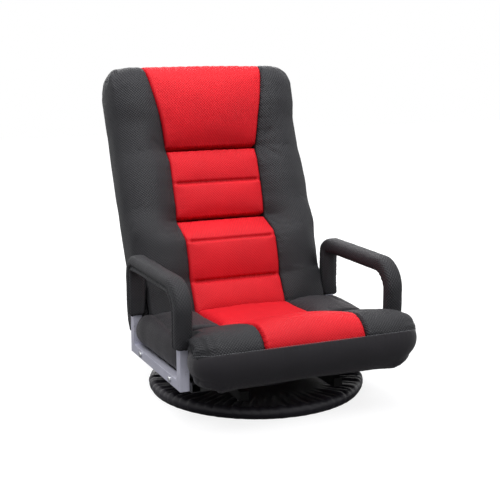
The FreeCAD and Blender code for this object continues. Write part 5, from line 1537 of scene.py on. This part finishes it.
class CHAIR_OT_arm_sleeves(bpy.types.Operator):
    """Makes the padded sleeves of the arms"""
    bl_idname = "floor_chair.arm_sleeves"
    bl_label = "Arm Sleeves"

    def execute(self, context):
        for word, side in SIDES.items():
            arm_sleeve(f"arm_sleeve_{word}", side)
        return {"FINISHED"}


class CHAIR_OT_hinge_caps(bpy.types.Operator):
    """Makes the padded caps over the hinges and the padded sides of the seat"""
    bl_idname = "floor_chair.hinge_caps"
    bl_label = "Hinge Caps"

    def execute(self, context):
        for word, side in SIDES.items():
            hinge_cap(f"hinge_disc_{word}", side)
            side_panel(f"seat_side_panel_{word}", side)
        return {"FINISHED"}


class CHAIR_OT_base_cover(bpy.types.Operator):
    """Makes the gathered cloth over the base ring"""
    bl_idname = "floor_chair.base_cover"
    bl_label = "Base Cover"

    def execute(self, context):
        ring_cover("ring_cover")
        return {"FINISHED"}


class CHAIR_OT_stitching(bpy.types.Operator):
    """Sews the stitches along the seams"""
    bl_idname = "floor_chair.stitching"
    bl_label = "Stitching"

    def execute(self, context):
        stitches("lumbar_stitches", [row_at("lumbar_panel", seam) for seam in LUMBAR_SEAMS],
                 "back", "red_thread")
        stitches("middle_stitches", [row_at("middle_panel", seam) for seam in MIDDLE_SEAMS],
                 "back", "red_thread")
        stitches("front_seam_stitches", [front_seam()], "seat", "pale_thread")
        return {"FINISHED"}


class CHAIR_OT_stage(bpy.types.Operator):
    """Sets the floor, the soft studio lights and the camera"""
    bl_idname = "floor_chair.stage"
    bl_label = "Stage"

    def execute(self, context):
        studio_floor(context.scene)
        studio_world(context.scene)
        studio_lights(context.scene)
        photo_camera(context.scene)
        context.scene.view_settings.view_transform = "Standard"
        return {"FINISHED"}


OPERATORS = (
    CHAIR_OT_frame_finishes, CHAIR_OT_stage, CHAIR_OT_back_panels, CHAIR_OT_side_bolsters, CHAIR_OT_rear_of_back,
    CHAIR_OT_seat_cushions, CHAIR_OT_front_roll, CHAIR_OT_arm_sleeves, CHAIR_OT_hinge_caps, CHAIR_OT_base_cover,
    CHAIR_OT_stitching,
)


class CHAIR_PT_panel(bpy.types.Panel):
    """Lists the chair's sizes, colours and pieces"""
    bl_label = "Floor Chair"
    bl_idname = "CHAIR_PT_panel"
    bl_space_type = "VIEW_3D"
    bl_region_type = "UI"
    bl_category = "Floor Chair"

    def draw(self, context):
        column = self.layout.column()
        for group in (context.scene.chair_sizes, context.scene.chair_colours):
            for key in group.__annotations__:
                column.prop(group, key)
        for operator in OPERATORS:
            column.operator(operator.bl_idname)


CLASSES = (ChairSizes, ChairColours, *OPERATORS, CHAIR_PT_panel)


def register():
    for item in CLASSES:
        bpy.utils.register_class(item)
    bpy.types.Scene.chair_sizes = bpy.props.PointerProperty(type=ChairSizes)
    bpy.types.Scene.chair_colours = bpy.props.PointerProperty(type=ChairColours)


def unregister():
    del bpy.types.Scene.chair_colours
    del bpy.types.Scene.chair_sizes
    for item in reversed(CLASSES):
        bpy.utils.unregister_class(item)


def main():
    """Makes the whole chair."""
    register()
    for operator in OPERATORS:
        group, name = operator.bl_idname.split(".")
        getattr(getattr(bpy.ops, group), name)()


if __name__ == "__main__":
    main()
